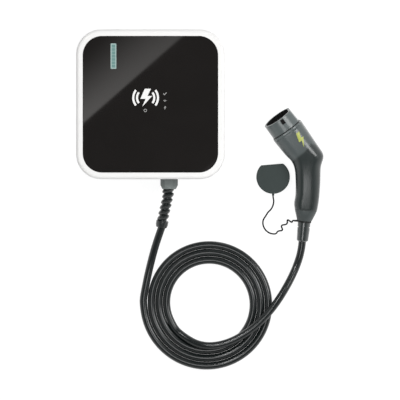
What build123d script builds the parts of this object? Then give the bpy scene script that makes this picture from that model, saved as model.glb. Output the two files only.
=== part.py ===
from build123d import *
import math
import os

# Wall charging box for electric cars, with its charging lead, laid out on a flat surface.
# Frame: z = 0 is the wall plane, +Z comes out of the front and +Y is the top of the box.
# Origin: the middle of the wall face. The lead, the vehicle connector and its dust cap
# lie on the same plane as the wall face. All sizes are in millimetres.

# Box
case_w = 255.0
case_h = 257.0
case_d = 86.0
case_corner = 43.0
case_edge = 5.0
wall = 3.5
back_wall = 3.0
split_z = 56.0
rear_inset = 1.5
rim_w = 8.0
rim_h = 6.0

# Glass front
bezel_w = 11.4
glass_corner = 33.0
glass_t = 4.0
glass_lip = 1.0
glass_gap = 0.2
bond_t = 1.0
bond_w = 9.0
panel_t = 3.0
glass_chamfer = 0.6

# Light bar in the glass
bar_w = 9.8
bar_h = 43.7
bar_x = -63.4
bar_y = 82.6
bar_gap = 0.15
bar_flange = 3.0
bar_flange_t = 2.0
bar_corner = 1.2

# Case screws and seal
case_screw_x = 97.0
case_screw_y = 98.0
case_screw_r = 2.0
case_screw_head_r = 3.9
case_screw_head_t = 3.6
case_screw_seat = 10.0
case_screw_grip = 14.0
case_screw_clear = 2.0
driver_recess = 0.6
column_r = 6.5
screw_gap = 0.3
seal_w = 3.0
seal_t = 2.0
seal_gap = 0.1

# Wall bracket and its pocket
pocket_w = 160.0
pocket_top = 80.0
pocket_bottom = -122.0
pocket_d = 10.0
pocket_corner = 6.0
bracket_t = 2.0
bracket_gap = 3.0
bracket_corner = 8.0
wall_hole_r = 3.25
wall_hole_dx = 120.0
wall_hole_dy = 130.0
wall_hole_y = -5.0
cable_window_r = 19.0
hook_x = 50.0
hook_w = 24.0
hook_rise = 6.0
hook_reach = 4.0
hook_gap = 0.3
lock_screw_x = 50.0
lock_screw_z = 5.5
lock_screw_r = 2.0
lock_head_r = 3.6
lock_head_t = 2.4
lock_flange_w = 22.0
lock_flange_h = 7.5

# Supply entry
grommet_x = -35.0
grommet_y = -95.0
grommet_r = 11.0
grommet_flange = 3.0
grommet_flange_t = 1.5

# Boards and what they carry
board_w = 150.0
board_h = 124.0
board_y = 0.0
board_t = 1.6
board_post_h = 7.0
board_post_r = 4.0
board_hole_inset = 7.0
board_screw_r = 1.5
board_screw_head_r = 2.8
board_screw_head_t = 2.0
board_screw_len = 7.0
display_screw_len = 5.0
relay_size = (30.0, 17.0, 26.0)
relay_step = 20.0
relay_count = 3
part_edge = 1.0
relay_x = 28.0
relay_y = 30.0
terminal_poles = 5
terminal_pitch = 9.0
terminal_depth = 18.0
terminal_h = 24.0
terminal_wall = 2.0
terminal_screw_r = 2.6
terminal_screw_depth = 6.0
terminal_edge = 2.0
supply_terminal_x = -35.0
psu_size = (46.0, 34.0, 22.0)
psu_x = -44.0
psu_y = 36.0
radio_size = (38.0, 26.0, 3.2)
radio_x = -46.0
radio_y = -8.0
display_w = 150.0
display_h = 96.0
display_x = -10.0
display_y = 57.0
display_post_h = 4.0
display_hole_inset = 6.0
led_size = (3.0, 3.0, 1.4)
bar_leds = 6
icon_led_x = 25.0
icon_led_y = (18.0, 36.0, 54.0)
antenna_w = 84.0
antenna_h = 54.0
antenna_band = 7.0
antenna_t = 0.5
antenna_y = -60.0

# Cable gland in the bottom wall
gland_x = 32.0
gland_z = 33.0
gland_thread_r = 10.0
gland_thread_len = 11.0
gland_jacket_out = 3.0
gland_flats = 26.0
gland_flange_t = 4.5
gland_seal_t = 1.5
gland_nut_t = 5.0
gland_neck_r = 10.8
gland_neck_len = 7.0
gland_cap_len = 12.6
gland_facet_len = 5.7
gland_cap_mouth_r = 11.6
gland_gap = 0.2

# Charging lead
cable_d = 13.0
arc_share = 0.45
lead_straight = 17.0
lead_level = 12.5
coil_straight = 14.0
boot_straight = 17.0
cable_gap = 0.1
core_r = 1.7
signal_core_r = 1.0
core_count = 5
core_ring = 3.9
sensor_r = 15.0
sensor_bore_r = 8.0
sensor_len = 13.0
sensor_foot_w = 21.0
sensor_y = -94.0

# Bend relief at the gland: it curves from the gland's axis to its own end point
relief_end = (19.4, -212.4, 25.0)
relief_core_r = 8.0
relief_base_r = 10.0
relief_rib_r = 10.8
relief_tip_r = 10.2
relief_ribs = 6
relief_rib_t = 6.4
relief_rib_edge = 2.6
relief_slant = 15.0
relief_cuff_len = 9.0
relief_base_len = 3.0

# Coil of the lead, counter-clockwise from the left side to its inner end
coil_x = 98.9
coil_y = -342.6
coil_r = 110.8
coil_pitch = 13.1
coil_start = 180.0
coil_turns = 3.0 + 30.0 / 360.0
coil_inner_gap = 2.0

# Vehicle connector: its elbow is the origin of its own frame, with the grip along -Y
elbow_x = 270.5
elbow_y = -93.3
body_lean = 35.7
body_len = 58.7
shell_wall = 3.0
collar_w = 57.7
collar_t = 62.0
nose_r = 28.75
nose_flat = 22.75
nose_corner = 4.0
nose_bore_corner = 3.0
nose_boss_wall = 1.0
nose_len = 29.5
nose_wall = 3.2
nose_flange_t = 3.0
nose_seam = 0.4
nose_seal_t = 1.6
nose_seal_w = 1.4
slot_len = 7.7
slot_w = 5.7
slot_depth = 2.0
slot_back = 14.7
slot_up = 8.4
carrier_moat = 3.5
carrier_recess = 2.0
carrier_seat = 12.0
turret_h = 1.2
turret_wall = 2.4
contact_wall = 1.0
power_bore_r = 3.0
signal_bore_r = 1.5
middle_side = 17.0
lower_row = 15.0
lower_side = 9.2
signal_row = 12.0
signal_side = 7.6
contact_len = 40.0
contact_bore_len = 24.0
contact_recess = 1.5
nose_screw_side = 13.0
nose_screw_up = 25.8
nose_screw_r = 1.25
nose_screw_head_r = 2.3
nose_screw_head_t = 1.6
nose_screw_len = 9.0

# Sections of the handle from the collar to the tail: how far the section is turned from the
# grip's axis, its centre in the connector's frame, its width, its thickness and its corner.
# The body ends and the grip begins at the saddle section.
saddle_section = 4
handle_sections = (
    (35.7, -34.25, 47.67, 57.7, 62.0, 23.0),
    (35.7, -20.4, 29.7, 56.4, 57.0, 22.5),
    (30.0, -9.2, 14.4, 55.0, 52.0, 21.0),
    (16.0, 0.8, 3.6, 53.4, 47.0, 20.0),
    (4.0, -0.4, -8.6, 46.8, 42.5, 18.0),
    (0.0, 0.2, -22.0, 42.6, 38.5, 16.5),
    (0.0, 0.0, -42.0, 40.4, 35.5, 15.5),
    (-2.0, -0.7, -62.0, 39.2, 33.5, 15.0),
    (-4.0, -3.0, -78.5, 41.6, 32.6, 14.5),
    (-5.6, -3.9, -89.9, 36.4, 31.0, 14.0),
)

# Tail of the connector, along its own slightly leaning axis
tail_x = -3.9
tail_y = -89.9
tail_lean = 5.6
tail_bore_r = 9.0
tail_nut_r = 15.2
tail_nut_end_r = 12.6
tail_nut_len = 17.4
tail_nut_rim = 3.0
tail_nut_edge = 1.2
tail_nut_spigot = 6.0
tail_gap = 0.2
eyelet_t = 3.0
eyelet_r = 13.4
eyelet_tab_r = 1.9
eyelet_tab_reach = 17.5
boot_r = 10.9
boot_end_r = 9.85
boot_len = 33.0
boot_groove_at = 7.0
boot_groove_w = 2.2
boot_groove_depth = 1.2
boot_tip = 2.0
clamp_len = 9.0
clamp_r = 8.8
core_straight = 8.0
core_bend_at = 8.0
core_squeeze = 0.4
core_drift = 2.0
core_bundle = 0.26

# Dust cap, mouth down on the floor, and its lanyard
cap_x = 211.0
cap_y = -124.7
cap_r = 28.9
cap_flat = 21.8
cap_turn = 90.0 + 4.7
cap_corner = 4.0
cap_lid_t = 4.0
cap_skirt_h = 12.0
cap_skirt_t = 2.4
cap_fit = 0.3
cap_edge = 1.6
cap_tab_r = 2.0
cap_tab_reach = 3.0
lanyard_d = 2.6
lanyard_straight = 3.0
lanyard_end_straight = 4.0

# Values worked out from the ones above
CENTRE_MIN = (Align.CENTER, Align.CENTER, Align.MIN)
rear_w = case_w - 2 * rear_inset
rear_h = case_h - 2 * rear_inset
rear_corner = case_corner - rear_inset
glass_w = case_w - 2 * bezel_w
glass_h = case_h - 2 * bezel_w
glass_front = case_d - glass_lip
glass_back = glass_front - glass_t
panel_front = glass_back - bond_t
panel_back = panel_front - panel_t
roof_z = pocket_d + back_wall
board_z = roof_z + board_post_h
board_top = board_z + board_t
display_top = panel_back - display_post_h
display_z = display_top - board_t
bottom_y = -case_h / 2 + rear_inset
gland_flange_y = bottom_y - gland_seal_t
gland_neck_y = gland_flange_y - gland_flange_t
gland_mouth_y = gland_neck_y - gland_cap_len
cable_r = cable_d / 2
board_front_y = board_y - board_h / 2
lean = math.radians(body_lean)
tail_turn = math.radians(tail_lean)
boot_top = tail_nut_len + eyelet_t
boot_end = boot_top + boot_len
boot_end_y = tail_y - boot_end * math.cos(tail_turn)
collar_corner = handle_sections[0][5]
collar_y = body_len * math.cos(lean) - (collar_w / 2 - collar_corner) * math.sin(lean)
tilt = math.atan((collar_t / 2 - boot_end_r) / (collar_y - boot_end_y))
lift = boot_end_r * math.cos(tilt) - boot_end_y * math.sin(tilt)
connector_place = Pos(elbow_x, elbow_y, lift) * Rot(math.degrees(tilt), 0, 0)


# Helpers


def slab(width, height, corner, low, high):
    """A rounded rectangle, centred on the z axis, from one height to another."""
    return Pos(0, 0, low) * extrude(RectangleRounded(width, height, corner), high - low)


def block(size, x, y, low, edge=0.0):
    """A box that stands on a height, with its upright edges rounded."""
    body = Pos(x, y, low) * Box(*size, align=CENTRE_MIN)
    return fillet(body.edges().filter_by(Axis.Z), edge) if edge else body


def rod(radius, low, high, x=0.0, y=0.0):
    """A round bar along z."""
    return Pos(x, y, low) * Cylinder(radius, high - low, align=CENTRE_MIN)


def corners(dx, dy, x=0.0, y=0.0):
    """The four corner points of a rectangle with these half sizes."""
    return [(x + i * dx, y + j * dy) for i in (-1, 1) for j in (-1, 1)]


def drop(shape, y, x=gland_x, z=gland_z):
    """Stands a shape, made along +z, on a height y of the box so that it points down, to -Y."""
    return Pos(x, y, z) * Rot(90, 0, 0) * shape


def tube_path(points):
    """Straight runs joined by arcs as large as the two runs at each corner allow."""
    spots = [Vector(*p) for p in points]
    radii = []
    for before, corner, after in zip(spots, spots[1:], spots[2:]):
        into, out = corner - before, after - corner
        turn = math.radians(into.get_angle(out))
        radii.append(arc_share * min(into.length, out.length) / math.tan(turn / 2))
    return FilletPolyline(*spots, radius=radii), radii


def tube(points, diameter, name):
    """A round tube along a cord's route, with its radii printed."""
    path, radii = tube_path(points)
    line = Wire(path.edges())
    solid = sweep(Plane(origin=line @ 0, z_dir=line % 0) * Circle(diameter / 2), path=line)
    section = math.pi * diameter ** 2 / 4
    print(name, "radii", [round(r, 1) for r in radii], "length", round(line.length, 1),
          "volume over section times length", round(solid.volume / (section * line.length), 5))
    return solid


# Box


def rear_housing():
    """The tub that holds everything, with the pocket for the wall bracket in its back."""
    tub = slab(rear_w, rear_h, rear_corner, 0, split_z)
    tub -= slab(rear_w - 2 * wall, rear_h - 2 * wall, rear_corner - wall, back_wall, split_z - rim_h)
    tub -= slab(rear_w - 2 * rim_w, rear_h - 2 * rim_w, rear_corner - rim_w, back_wall, split_z + 1)
    pocket_h = pocket_top - pocket_bottom
    pocket_y = (pocket_top + pocket_bottom) / 2
    housing_y = Pos(0, pocket_y, 0)
    raised = housing_y * slab(pocket_w + 2 * wall, pocket_h + 2 * wall, pocket_corner + wall, 0, roof_z)
    tub += raised & slab(rear_w, rear_h, rear_corner, 0, roof_z)
    tub -= housing_y * slab(pocket_w, pocket_h, pocket_corner, -1, pocket_d)
    for x, y in corners(case_screw_x, case_screw_y):
        tub += rod(column_r, 0, split_z, x, y)
    for x, y in corners(case_screw_x, case_screw_y):
        tub -= rod(case_screw_head_r + screw_gap, -1, split_z - case_screw_seat, x, y)
        tub -= rod(case_screw_r + screw_gap, 0, split_z + 1, x, y)
    for x, y in corners(board_w / 2 - board_hole_inset, board_h / 2 - board_hole_inset, y=board_y):
        tub += rod(board_post_r, roof_z - 1, board_z, x, y)
        tub -= rod(board_screw_r, board_top - board_screw_len - 1, board_z + 1, x, y)
    tub -= seal_ring(seal_gap, seal_t - seal_gap)
    tub -= rod(grommet_r, pocket_d - 1, roof_z + 1, grommet_x, grommet_y)
    tub -= drop(rod(gland_thread_r + gland_gap, -2 * wall, wall), bottom_y)
    for side in (-1, 1):
        x = side * hook_x
        low = hook_rise - hook_gap
        slot = (hook_w + 2 * hook_gap, 2 * hook_reach, bracket_t + 2 * hook_gap)
        tub -= block(slot, x, pocket_top, low)
        x = side * lock_screw_x
        tub -= drop(rod(lock_screw_r + screw_gap, -2 * wall, wall), bottom_y, x, lock_screw_z)
        tub -= drop(rod(lock_head_r + screw_gap, -lock_head_t - screw_gap, 1), bottom_y, x, lock_screw_z)
    return tub


def seal_ring(grow, height):
    """The ring that the case seal fills, in the rim of the rear housing."""
    inset = (rim_w - seal_w) / 2 - grow
    width = seal_w + 2 * grow
    ring = slab(rear_w - 2 * inset, rear_h - 2 * inset, rear_corner - inset, split_z - height, split_z)
    inset += width
    return ring - slab(rear_w - 2 * inset, rear_h - 2 * inset, rear_corner - inset, 0, split_z + 1)


def front_cover():
    """The white front: a frame round the glass, the panel behind it and the screw bosses."""
    cover = slab(case_w, case_h, case_corner, split_z, case_d)
    cover = fillet(cover.faces().sort_by(Axis.Z)[-1].outer_wire().edges(), case_edge)
    cover -= slab(case_w - 2 * wall, case_h - 2 * wall, case_corner - wall, split_z + rim_h, panel_back)
    cover -= slab(case_w - 2 * rim_w, case_h - 2 * rim_w, case_corner - rim_w, split_z - 1, panel_back)
    recess = (glass_w + 2 * glass_gap, glass_h + 2 * glass_gap, glass_corner + glass_gap)
    cover -= slab(*recess, panel_front, case_d + 1)
    cover -= Pos(bar_x, bar_y, 0) * bar_hole()
    for x, y in corners(case_screw_x, case_screw_y):
        cover += rod(column_r, split_z, panel_back + 1, x, y)
        cover -= rod(case_screw_r, split_z - 1, split_z + case_screw_grip, x, y)
    for x, y in display_holes():
        cover += rod(board_post_r, display_top, panel_back + 1, x, y)
        cover -= rod(board_screw_r, display_top - 1, panel_back + 1, x, y)
    return cover


def bar_hole():
    """The hole that the light bar stands in, through the panel and the glass."""
    size = (bar_w + 2 * bar_gap, bar_h + 2 * bar_gap, bar_corner + bar_gap)
    return slab(*size, panel_back - 1, case_d + 1)


def front_glass():
    """The black glass, flush in the frame, with the hole for the light bar."""
    glass = slab(glass_w, glass_h, glass_corner, glass_back, glass_front)
    glass = chamfer(glass.faces().sort_by(Axis.Z)[-1].outer_wire().edges(), glass_chamfer)
    return glass - Pos(bar_x, bar_y, 0) * bar_hole()


def glass_bond():
    """The adhesive frame between the panel and the glass."""
    inset = bond_w
    ring = slab(glass_w, glass_h, glass_corner, panel_front, glass_back)
    return ring - slab(glass_w - 2 * inset, glass_h - 2 * inset, glass_corner - inset, 0, glass_front)


def light_bar():
    """The diffuser: a bar flush with the glass on a flange behind the panel."""
    bar = slab(bar_w, bar_h, bar_corner, panel_back - bar_flange_t, glass_front)
    flange = (bar_w + 2 * bar_flange, bar_h + 2 * bar_flange, bar_corner + bar_flange)
    bar += slab(*flange, panel_back - bar_flange_t, panel_back)
    return Pos(bar_x, bar_y, 0) * bar


def screw(radius, length, head_r, head_t):
    """A screw along +z: its head below z = 0, with a driver recess, and its shank above."""
    body = rod(radius, 0, length) + rod(head_r, -head_t, 0)
    return body - hexagon(head_r, -head_t - 1, -head_t * (1 - driver_recess))


def case_screws():
    """The four long screws that pull the front cover on the rear housing."""
    length = case_screw_seat + case_screw_grip - case_screw_clear
    one = screw(case_screw_r, length, case_screw_head_r, case_screw_head_t)
    seat = split_z - case_screw_seat
    return [Pos(x, y, seat) * one for x, y in corners(case_screw_x, case_screw_y)]


def wall_bracket():
    """The sheet-steel plate on the wall, with two hooks at its top and two tabs at its foot."""
    height = pocket_top - pocket_bottom - 2 * bracket_gap
    middle = (pocket_top + pocket_bottom) / 2
    plate = Pos(0, middle, 0) * slab(pocket_w - 2 * bracket_gap, height, bracket_corner, 0, bracket_t)
    for x, y in corners(wall_hole_dx / 2, wall_hole_dy / 2, y=wall_hole_y):
        plate -= rod(wall_hole_r, -1, bracket_t + 1, x, y)
    plate -= rod(cable_window_r, -1, bracket_t + 1, grommet_x, grommet_y)
    top = pocket_top - hook_gap
    foot = pocket_bottom + bracket_gap
    for side in (-1, 1):
        x = side * hook_x
        root = (hook_w, 2 * bracket_gap, bracket_t)
        plate += block(root, x, top - bracket_gap, 0)
        plate += block((hook_w, bracket_t, hook_rise), x, top - bracket_t / 2, bracket_t)
        lip = (hook_w, bracket_t + hook_reach - hook_gap, bracket_t)
        plate += block(lip, x, top - bracket_t + lip[1] / 2, hook_rise)
        x = side * lock_screw_x
        plate += block((lock_flange_w, bracket_t, lock_flange_h), x, foot + bracket_t / 2, bracket_t)
        plate -= drop(rod(lock_screw_r, -2 * bracket_t, 1), foot, x, lock_screw_z)
    return plate


def bracket_lock_screws():
    """The two screws that hold the housing's foot on the bracket."""
    reach = pocket_bottom + bracket_gap + bracket_t - bottom_y
    one = screw(lock_screw_r, reach + 2 * lock_head_t, lock_head_r, lock_head_t)
    seat = bottom_y + lock_head_t
    place = Rot(-90, 0, 0)
    return [Pos(side * lock_screw_x, seat, lock_screw_z) * place * one for side in (-1, 1)]


def supply_grommet():
    """The closed rubber membrane for the supply cable, in the roof of the pocket."""
    body = rod(grommet_r, pocket_d, roof_z)
    body += rod(grommet_r + grommet_flange, pocket_d - grommet_flange_t, pocket_d)
    body += rod(grommet_r + grommet_flange, roof_z, roof_z + grommet_flange_t)
    body -= rod(grommet_r - grommet_flange, pocket_d - 2 * grommet_flange_t, pocket_d + 1)
    return Pos(grommet_x, grommet_y, 0) * body


# Inside the box


def board(width, height, low, inset, x, y):
    """A circuit board with a hole at each corner."""
    plate = Pos(x, y, 0) * slab(width, height, inset / 2, low, low + board_t)
    for hole_x, hole_y in corners(width / 2 - inset, height / 2 - inset, x, y):
        plate -= rod(board_screw_r + screw_gap, low - 1, low + board_t + 1, hole_x, hole_y)
    return plate


def display_holes():
    """The places of the four screws of the display board."""
    half_w = display_w / 2 - display_hole_inset
    half_h = display_h / 2 - display_hole_inset
    return corners(half_w, half_h, display_x, display_y)


def small_screws(places, seat, length, turn):
    """Board screws at the given places, turned from pointing up."""
    one = screw(board_screw_r, length, board_screw_head_r, board_screw_head_t)
    return [Pos(x, y, seat) * Rot(turn, 0, 0) * one for x, y in places]


def power_relays():
    """The relays that switch the phases, on the main board."""
    rows = [relay_y - i * relay_step for i in range(relay_count)]
    return [block(relay_size, relay_x, y, board_top, part_edge) for y in rows]


def terminal(x):
    """A terminal block: one pole beside the other, each with its screw hole."""
    width = terminal_poles * terminal_pitch + terminal_wall
    y = board_front_y + terminal_edge + terminal_depth / 2
    body = block((width, terminal_depth, terminal_h), x, y, board_top)
    for i in range(terminal_poles):
        pole = x + (i - (terminal_poles - 1) / 2) * terminal_pitch
        top = board_top + terminal_h
        body -= rod(terminal_screw_r, top - terminal_screw_depth, top + 1, pole, y)
    return body


def status_leds():
    """The light sources behind the bar and behind the small signs in the glass."""
    step = bar_h / bar_leds
    places = [(bar_x, bar_y + (i - (bar_leds - 1) / 2) * step) for i in range(bar_leds)]
    places += [(icon_led_x, y) for y in icon_led_y]
    return [block(led_size, x, y, display_top) for x, y in places]


def card_antenna():
    """The flat antenna loop of the card reader, on the back of the panel."""
    loop = slab(antenna_w, antenna_h, antenna_band, panel_back - antenna_t, panel_back)
    hole = (antenna_w - 2 * antenna_band, antenna_h - 2 * antenna_band, antenna_band / 2)
    return Pos(0, antenna_y, 0) * (loop - slab(*hole, 0, case_d))


def fault_current_sensor():
    """The ring round the output cores, on its foot."""
    ring = rod(sensor_r, 0, sensor_len) - rod(sensor_bore_r, -1, sensor_len + 1)
    foot_h = gland_z - sensor_r - roof_z + 2
    foot = block((sensor_foot_w, sensor_len, foot_h), gland_x, sensor_y - sensor_len / 2, roof_z)
    return drop(ring, sensor_y) + foot


def output_cores():
    """The cores of the lead, from its end in the gland to the output terminal."""
    start = gland_inner_end()
    end = board_front_y + terminal_edge
    one = drop(rod(core_r, 0, end - start), end)
    cores = [one]
    for i in range(core_count - 1):
        angle = 2 * math.pi * (i + 0.5) / (core_count - 1)
        cores.append(Pos(core_ring * math.cos(angle), 0, core_ring * math.sin(angle)) * one)
    return cores


def gland_inner_end():
    """Where the jacket of the lead ends inside the box."""
    return bottom_y + gland_thread_len + gland_jacket_out


# Gland and bend relief


def hexagon(flats, low, high):
    """A hexagonal prism along z, given by the width across its flats."""
    return Pos(0, 0, low) * extrude(RegularPolygon(flats / 2, 6, major_radius=False), high - low)


def gland_body():
    """The gland's body: thread inside the wall, flange outside and neck for the cap."""
    body = rod(gland_thread_r, -gland_thread_len, gland_seal_t)
    body += hexagon(gland_flats, gland_seal_t, gland_seal_t + gland_flange_t)
    body += rod(gland_neck_r, gland_seal_t, gland_seal_t + gland_flange_t + gland_neck_len)
    body -= rod(cable_r + gland_gap, -gland_thread_len - 1, case_d)
    return drop(body, bottom_y)


def gland_locknut():
    """The nut on the inside of the bottom wall."""
    nut = hexagon(gland_flats, -wall - gland_nut_t, -wall)
    return drop(nut - rod(gland_thread_r, -2 * case_d, 1), bottom_y)


def gland_seal():
    """The flat seal under the gland's flange."""
    ring = rod(gland_flats / 2, 0, gland_seal_t) - rod(gland_thread_r, -1, gland_seal_t + 1)
    return drop(ring, bottom_y)


def gland_cap():
    """The cap nut: facets that run into a cone, and a mouth that holds the bend relief."""
    cone_r = gland_flats / 2 / math.cos(math.radians(30))
    outside = Polyline((0, 0), (cone_r, 0), (cone_r, gland_facet_len),
                       (gland_cap_mouth_r, gland_cap_len), (0, gland_cap_len), close=True)
    body = revolve(Plane.XZ * make_face(outside), Axis.Z)
    body = body & hexagon(gland_flats, -1, gland_cap_len + 1)
    body -= rod(gland_neck_r + gland_gap, -1, gland_neck_len + gland_gap)
    body -= rod(relief_base_r + gland_gap, gland_neck_len, gland_cap_len + 1)
    return drop(body, gland_neck_y)


def relief_spine(before=0.0, after=0.0):
    """The arc that the bend relief follows, with a straight run at either end."""
    start = Vector(gland_x, gland_mouth_y, gland_z)
    arc = TangentArc(start, Vector(*relief_end), tangent=(0, -1, 0))
    edges = list(arc.edges())
    if before:
        edges.insert(0, Line(start + Vector(0, before, 0), start))
    if after:
        edges.append(Line(arc @ 1, arc @ 1 + (arc % 1) * after))
    return Wire([edge for piece in edges for edge in piece.edges()])


def along_relief(radius, before=0.0, after=0.0):
    """A round bar along the bend relief's arc."""
    path = relief_spine(before, after)
    return sweep(Plane(origin=path @ 0, z_dir=path % 0) * Circle(radius), path=path)


def bend_relief():
    """The flexible sleeve: a core with slanted ribs, and a plain cuff at its end."""
    spine = relief_spine()
    sleeve = along_relief(relief_core_r)
    base = gland_cap_len - gland_neck_len - gland_gap * 2
    sleeve += drop(rod(relief_base_r, -base, relief_base_len), gland_mouth_y)
    step = (spine.length - relief_cuff_len - relief_base_len) / relief_ribs
    for i in range(relief_ribs):
        along = (relief_base_len + step * (i + 0.5)) / spine.length
        place = Plane(origin=spine @ along, z_dir=spine % along, x_dir=(0, 0, 1))
        rib = Cylinder(relief_rib_r, relief_rib_t)
        rib = fillet(rib.edges().filter_by(GeomType.CIRCLE), relief_rib_edge)
        sleeve += place * Rot(relief_slant, 0, 0) * rib
    cuff = Plane(origin=spine @ 1, z_dir=spine % 1)
    sleeve += cuff * rod(relief_tip_r, -relief_cuff_len, 0)
    return sleeve - along_relief(cable_r + cable_gap, relief_cuff_len * 2, relief_cuff_len)


def cable_gland_end():
    """The end of the lead inside the bend relief and the gland."""
    return along_relief(cable_r, gland_inner_end() - gland_mouth_y)


# Lead


def lead_route():
    """From the end of the bend relief, down to the floor and into the coil."""
    spine = relief_spine()
    first = spine @ 1 + (spine % 1) * lead_straight
    start = Vector(coil_x - coil_r, coil_y, cable_r)
    return [
        tuple(spine @ 1),
        tuple(first),
        (6.4, -249.5, 15.0),
        (0.2, -273.0, 9.4),
        (-5.2, -296.0, 6.7),
        (-9.2, -316.0, cable_r),
        (start.X, start.Y + lead_level, cable_r),
        tuple(start),
    ]


def coil_point(turns):
    """The middle of the strand, that many turns after the coil's start."""
    angle = math.radians(coil_start + 360 * turns)
    radius = coil_r - coil_pitch * turns
    return Vector(coil_x + radius * math.cos(angle), coil_y + radius * math.sin(angle), cable_r)


def tail_route():
    """From the coil's inner end, up over the other turns and down to the connector."""
    first = coil_point(coil_turns)
    angle = math.radians(coil_start + 360 * coil_turns)
    ahead = Vector(-math.sin(angle), math.cos(angle), 0)
    last = laid(tail_place(boot_end).origin)
    boot_axis = last - laid(tail_place().origin)
    before = last + boot_axis.normalized() * boot_straight
    return [
        tuple(first),
        tuple(first + ahead * coil_straight),
        (59.6, -401.3, 9.6),
        (77.4, -411.6, 15.4),
        (96.0, -415.8, 20.2),
        (116.0, -414.6, 21.0),
        (138.0, -408.4, 21.0),
        (160.6, -396.4, 21.0),
        (180.0, -382.4, 21.0),
        (198.0, -364.6, 21.0),
        (214.0, -345.4, 21.0),
        (228.4, -323.6, 18.0),
        (241.6, -300.0, 12.4),
        (252.0, -277.0, 8.2),
        tuple(before),
        tuple(last),
    ]


def cable_coil():
    """The coil as one closed ring whose inner and outer edges follow the first and last turn."""
    outer = turn_outline(coil_r + cable_r, coil_start)
    inner_r = coil_r - coil_pitch * (coil_turns - 1) - cable_r + coil_inner_gap
    step = coil_pitch + coil_inner_gap
    inner = turn_outline(inner_r, coil_start + 360 * coil_turns, step)
    ring = extrude(outer, cable_d) - Pos(0, 0, -1) * extrude(inner, cable_d + 2)
    return Pos(coil_x, coil_y, 0) * ring


def turn_outline(radius, start, step=coil_pitch):
    """One turn of the spiral as two half circles, closed by a straight step at its start."""
    half = radius - step / 2
    end = radius - step
    angle = math.radians(start)
    side = Vector(math.cos(angle), math.sin(angle))
    across = Vector(-math.sin(angle), math.cos(angle))
    a, b, c = side * radius, side * -half, side * end
    low = (a + b) * 0.5 + across * ((radius + half) / 2)
    high = (b + c) * 0.5 - across * ((half + end) / 2)
    line = ThreePointArc(a, low, b) + ThreePointArc(b, high, c) + Line(c, a)
    return make_face(line)


# Connector


def body_plane(along):
    """A plane across the connector's body, that far from the elbow: x is towards the flat."""
    origin = (-along * math.sin(lean), along * math.cos(lean), 0)
    return Plane(origin=origin, x_dir=(math.cos(lean), math.sin(lean), 0),
                 z_dir=(-math.sin(lean), math.cos(lean), 0))


def tail_place(along=0.0):
    """A plane across the tail, that far from the handle, with z out of the handle."""
    origin = (tail_x - along * math.sin(tail_turn), tail_y - along * math.cos(tail_turn), 0)
    return Plane(origin=origin, x_dir=(math.cos(tail_turn), -math.sin(tail_turn), 0),
                 z_dir=(-math.sin(tail_turn), -math.cos(tail_turn), 0))


def laid(point):
    """A point of the connector's frame, with the connector in its place."""
    return (connector_place * Pos(*point)).position


def d_outline(radius, flat, corner):
    """A circle with one flat, and rounded corners beside the flat."""
    shape = Circle(radius) - Pos(flat + radius, 0) * Rectangle(2 * radius, 4 * radius)
    return fillet(shape.vertices(), corner)


def handle_loft(inset, skip_last=0.0):
    """The handle's outer form, or its cavity when inset by the wall."""
    faces = []
    for turn, x, y, width, thick, corner in handle_sections:
        angle = math.radians(turn)
        if skip_last and (turn, x, y) == handle_sections[-1][:3]:
            x, y = x - skip_last * math.sin(angle), y + skip_last * math.cos(angle)
        place = Plane(origin=(x, y, 0), x_dir=(math.cos(angle), math.sin(angle), 0),
                      z_dir=(-math.sin(angle), math.cos(angle), 0))
        size = (width - 2 * inset, thick - 2 * inset, corner - inset)
        faces.append(place * RectangleRounded(*size))
    return loft(faces[:saddle_section + 1]) + loft(faces[saddle_section:])


def handle_shell():
    """The moulded handle: a hollow body that bends into the grip, open to the tail."""
    shell = handle_loft(0) - handle_loft(shell_wall, shell_wall)
    shell -= tail_place() * rod(tail_bore_r, -2 * shell_wall, shell_wall)
    for side in (-1, 1):
        up = nose_screw_up - nose_boss_wall
        boss = rod(nose_screw_head_r + nose_boss_wall, -nose_screw_len, 0, up, side * nose_screw_side)
        shell += (body_plane(body_len) * boss) & handle_loft(0)
    for side in (-1, 1):
        hole = rod(nose_screw_r, -nose_screw_len, 1, nose_screw_up, side * nose_screw_side)
        shell -= body_plane(body_len) * hole
    return shell


def connector_nose():
    """The front of the connector: the collar's flange and the shroud with its flat."""
    collar = slab(collar_w - nose_seam, collar_t - nose_seam, collar_corner, 0, nose_flange_t)
    shroud = extrude(d_outline(nose_r, nose_flat, nose_corner), nose_flange_t + nose_len)
    bore = d_outline(nose_r - nose_wall, nose_flat - nose_wall, nose_bore_corner)
    body = collar + shroud - Pos(0, 0, -1) * extrude(bore, nose_len + nose_flange_t + 2)
    for side in (-1, 1):
        slot = Box(slot_w, 2 * slot_depth, slot_len)
        edge = math.sqrt(nose_r ** 2 - slot_up ** 2)
        body -= Pos(slot_up, side * edge, nose_flange_t + nose_len - slot_back) * slot
        up, across = nose_screw_up, side * nose_screw_side
        body -= rod(nose_screw_r + screw_gap / 2, -1, nose_flange_t + 1, up, across)
        seat = nose_flange_t - nose_screw_head_t
        body -= rod(nose_screw_head_r + screw_gap / 2, seat, case_d, up, across)
    return body_plane(body_len) * body


def nose_seal():
    """The soft ring round the foot of the shroud."""
    ring = d_outline(nose_r + nose_seal_w, nose_flat + nose_seal_w, nose_corner + nose_seal_w)
    hole = d_outline(nose_r, nose_flat, nose_corner)
    return body_plane(body_len + nose_flange_t) * extrude(ring - hole, nose_seal_t)


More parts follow.
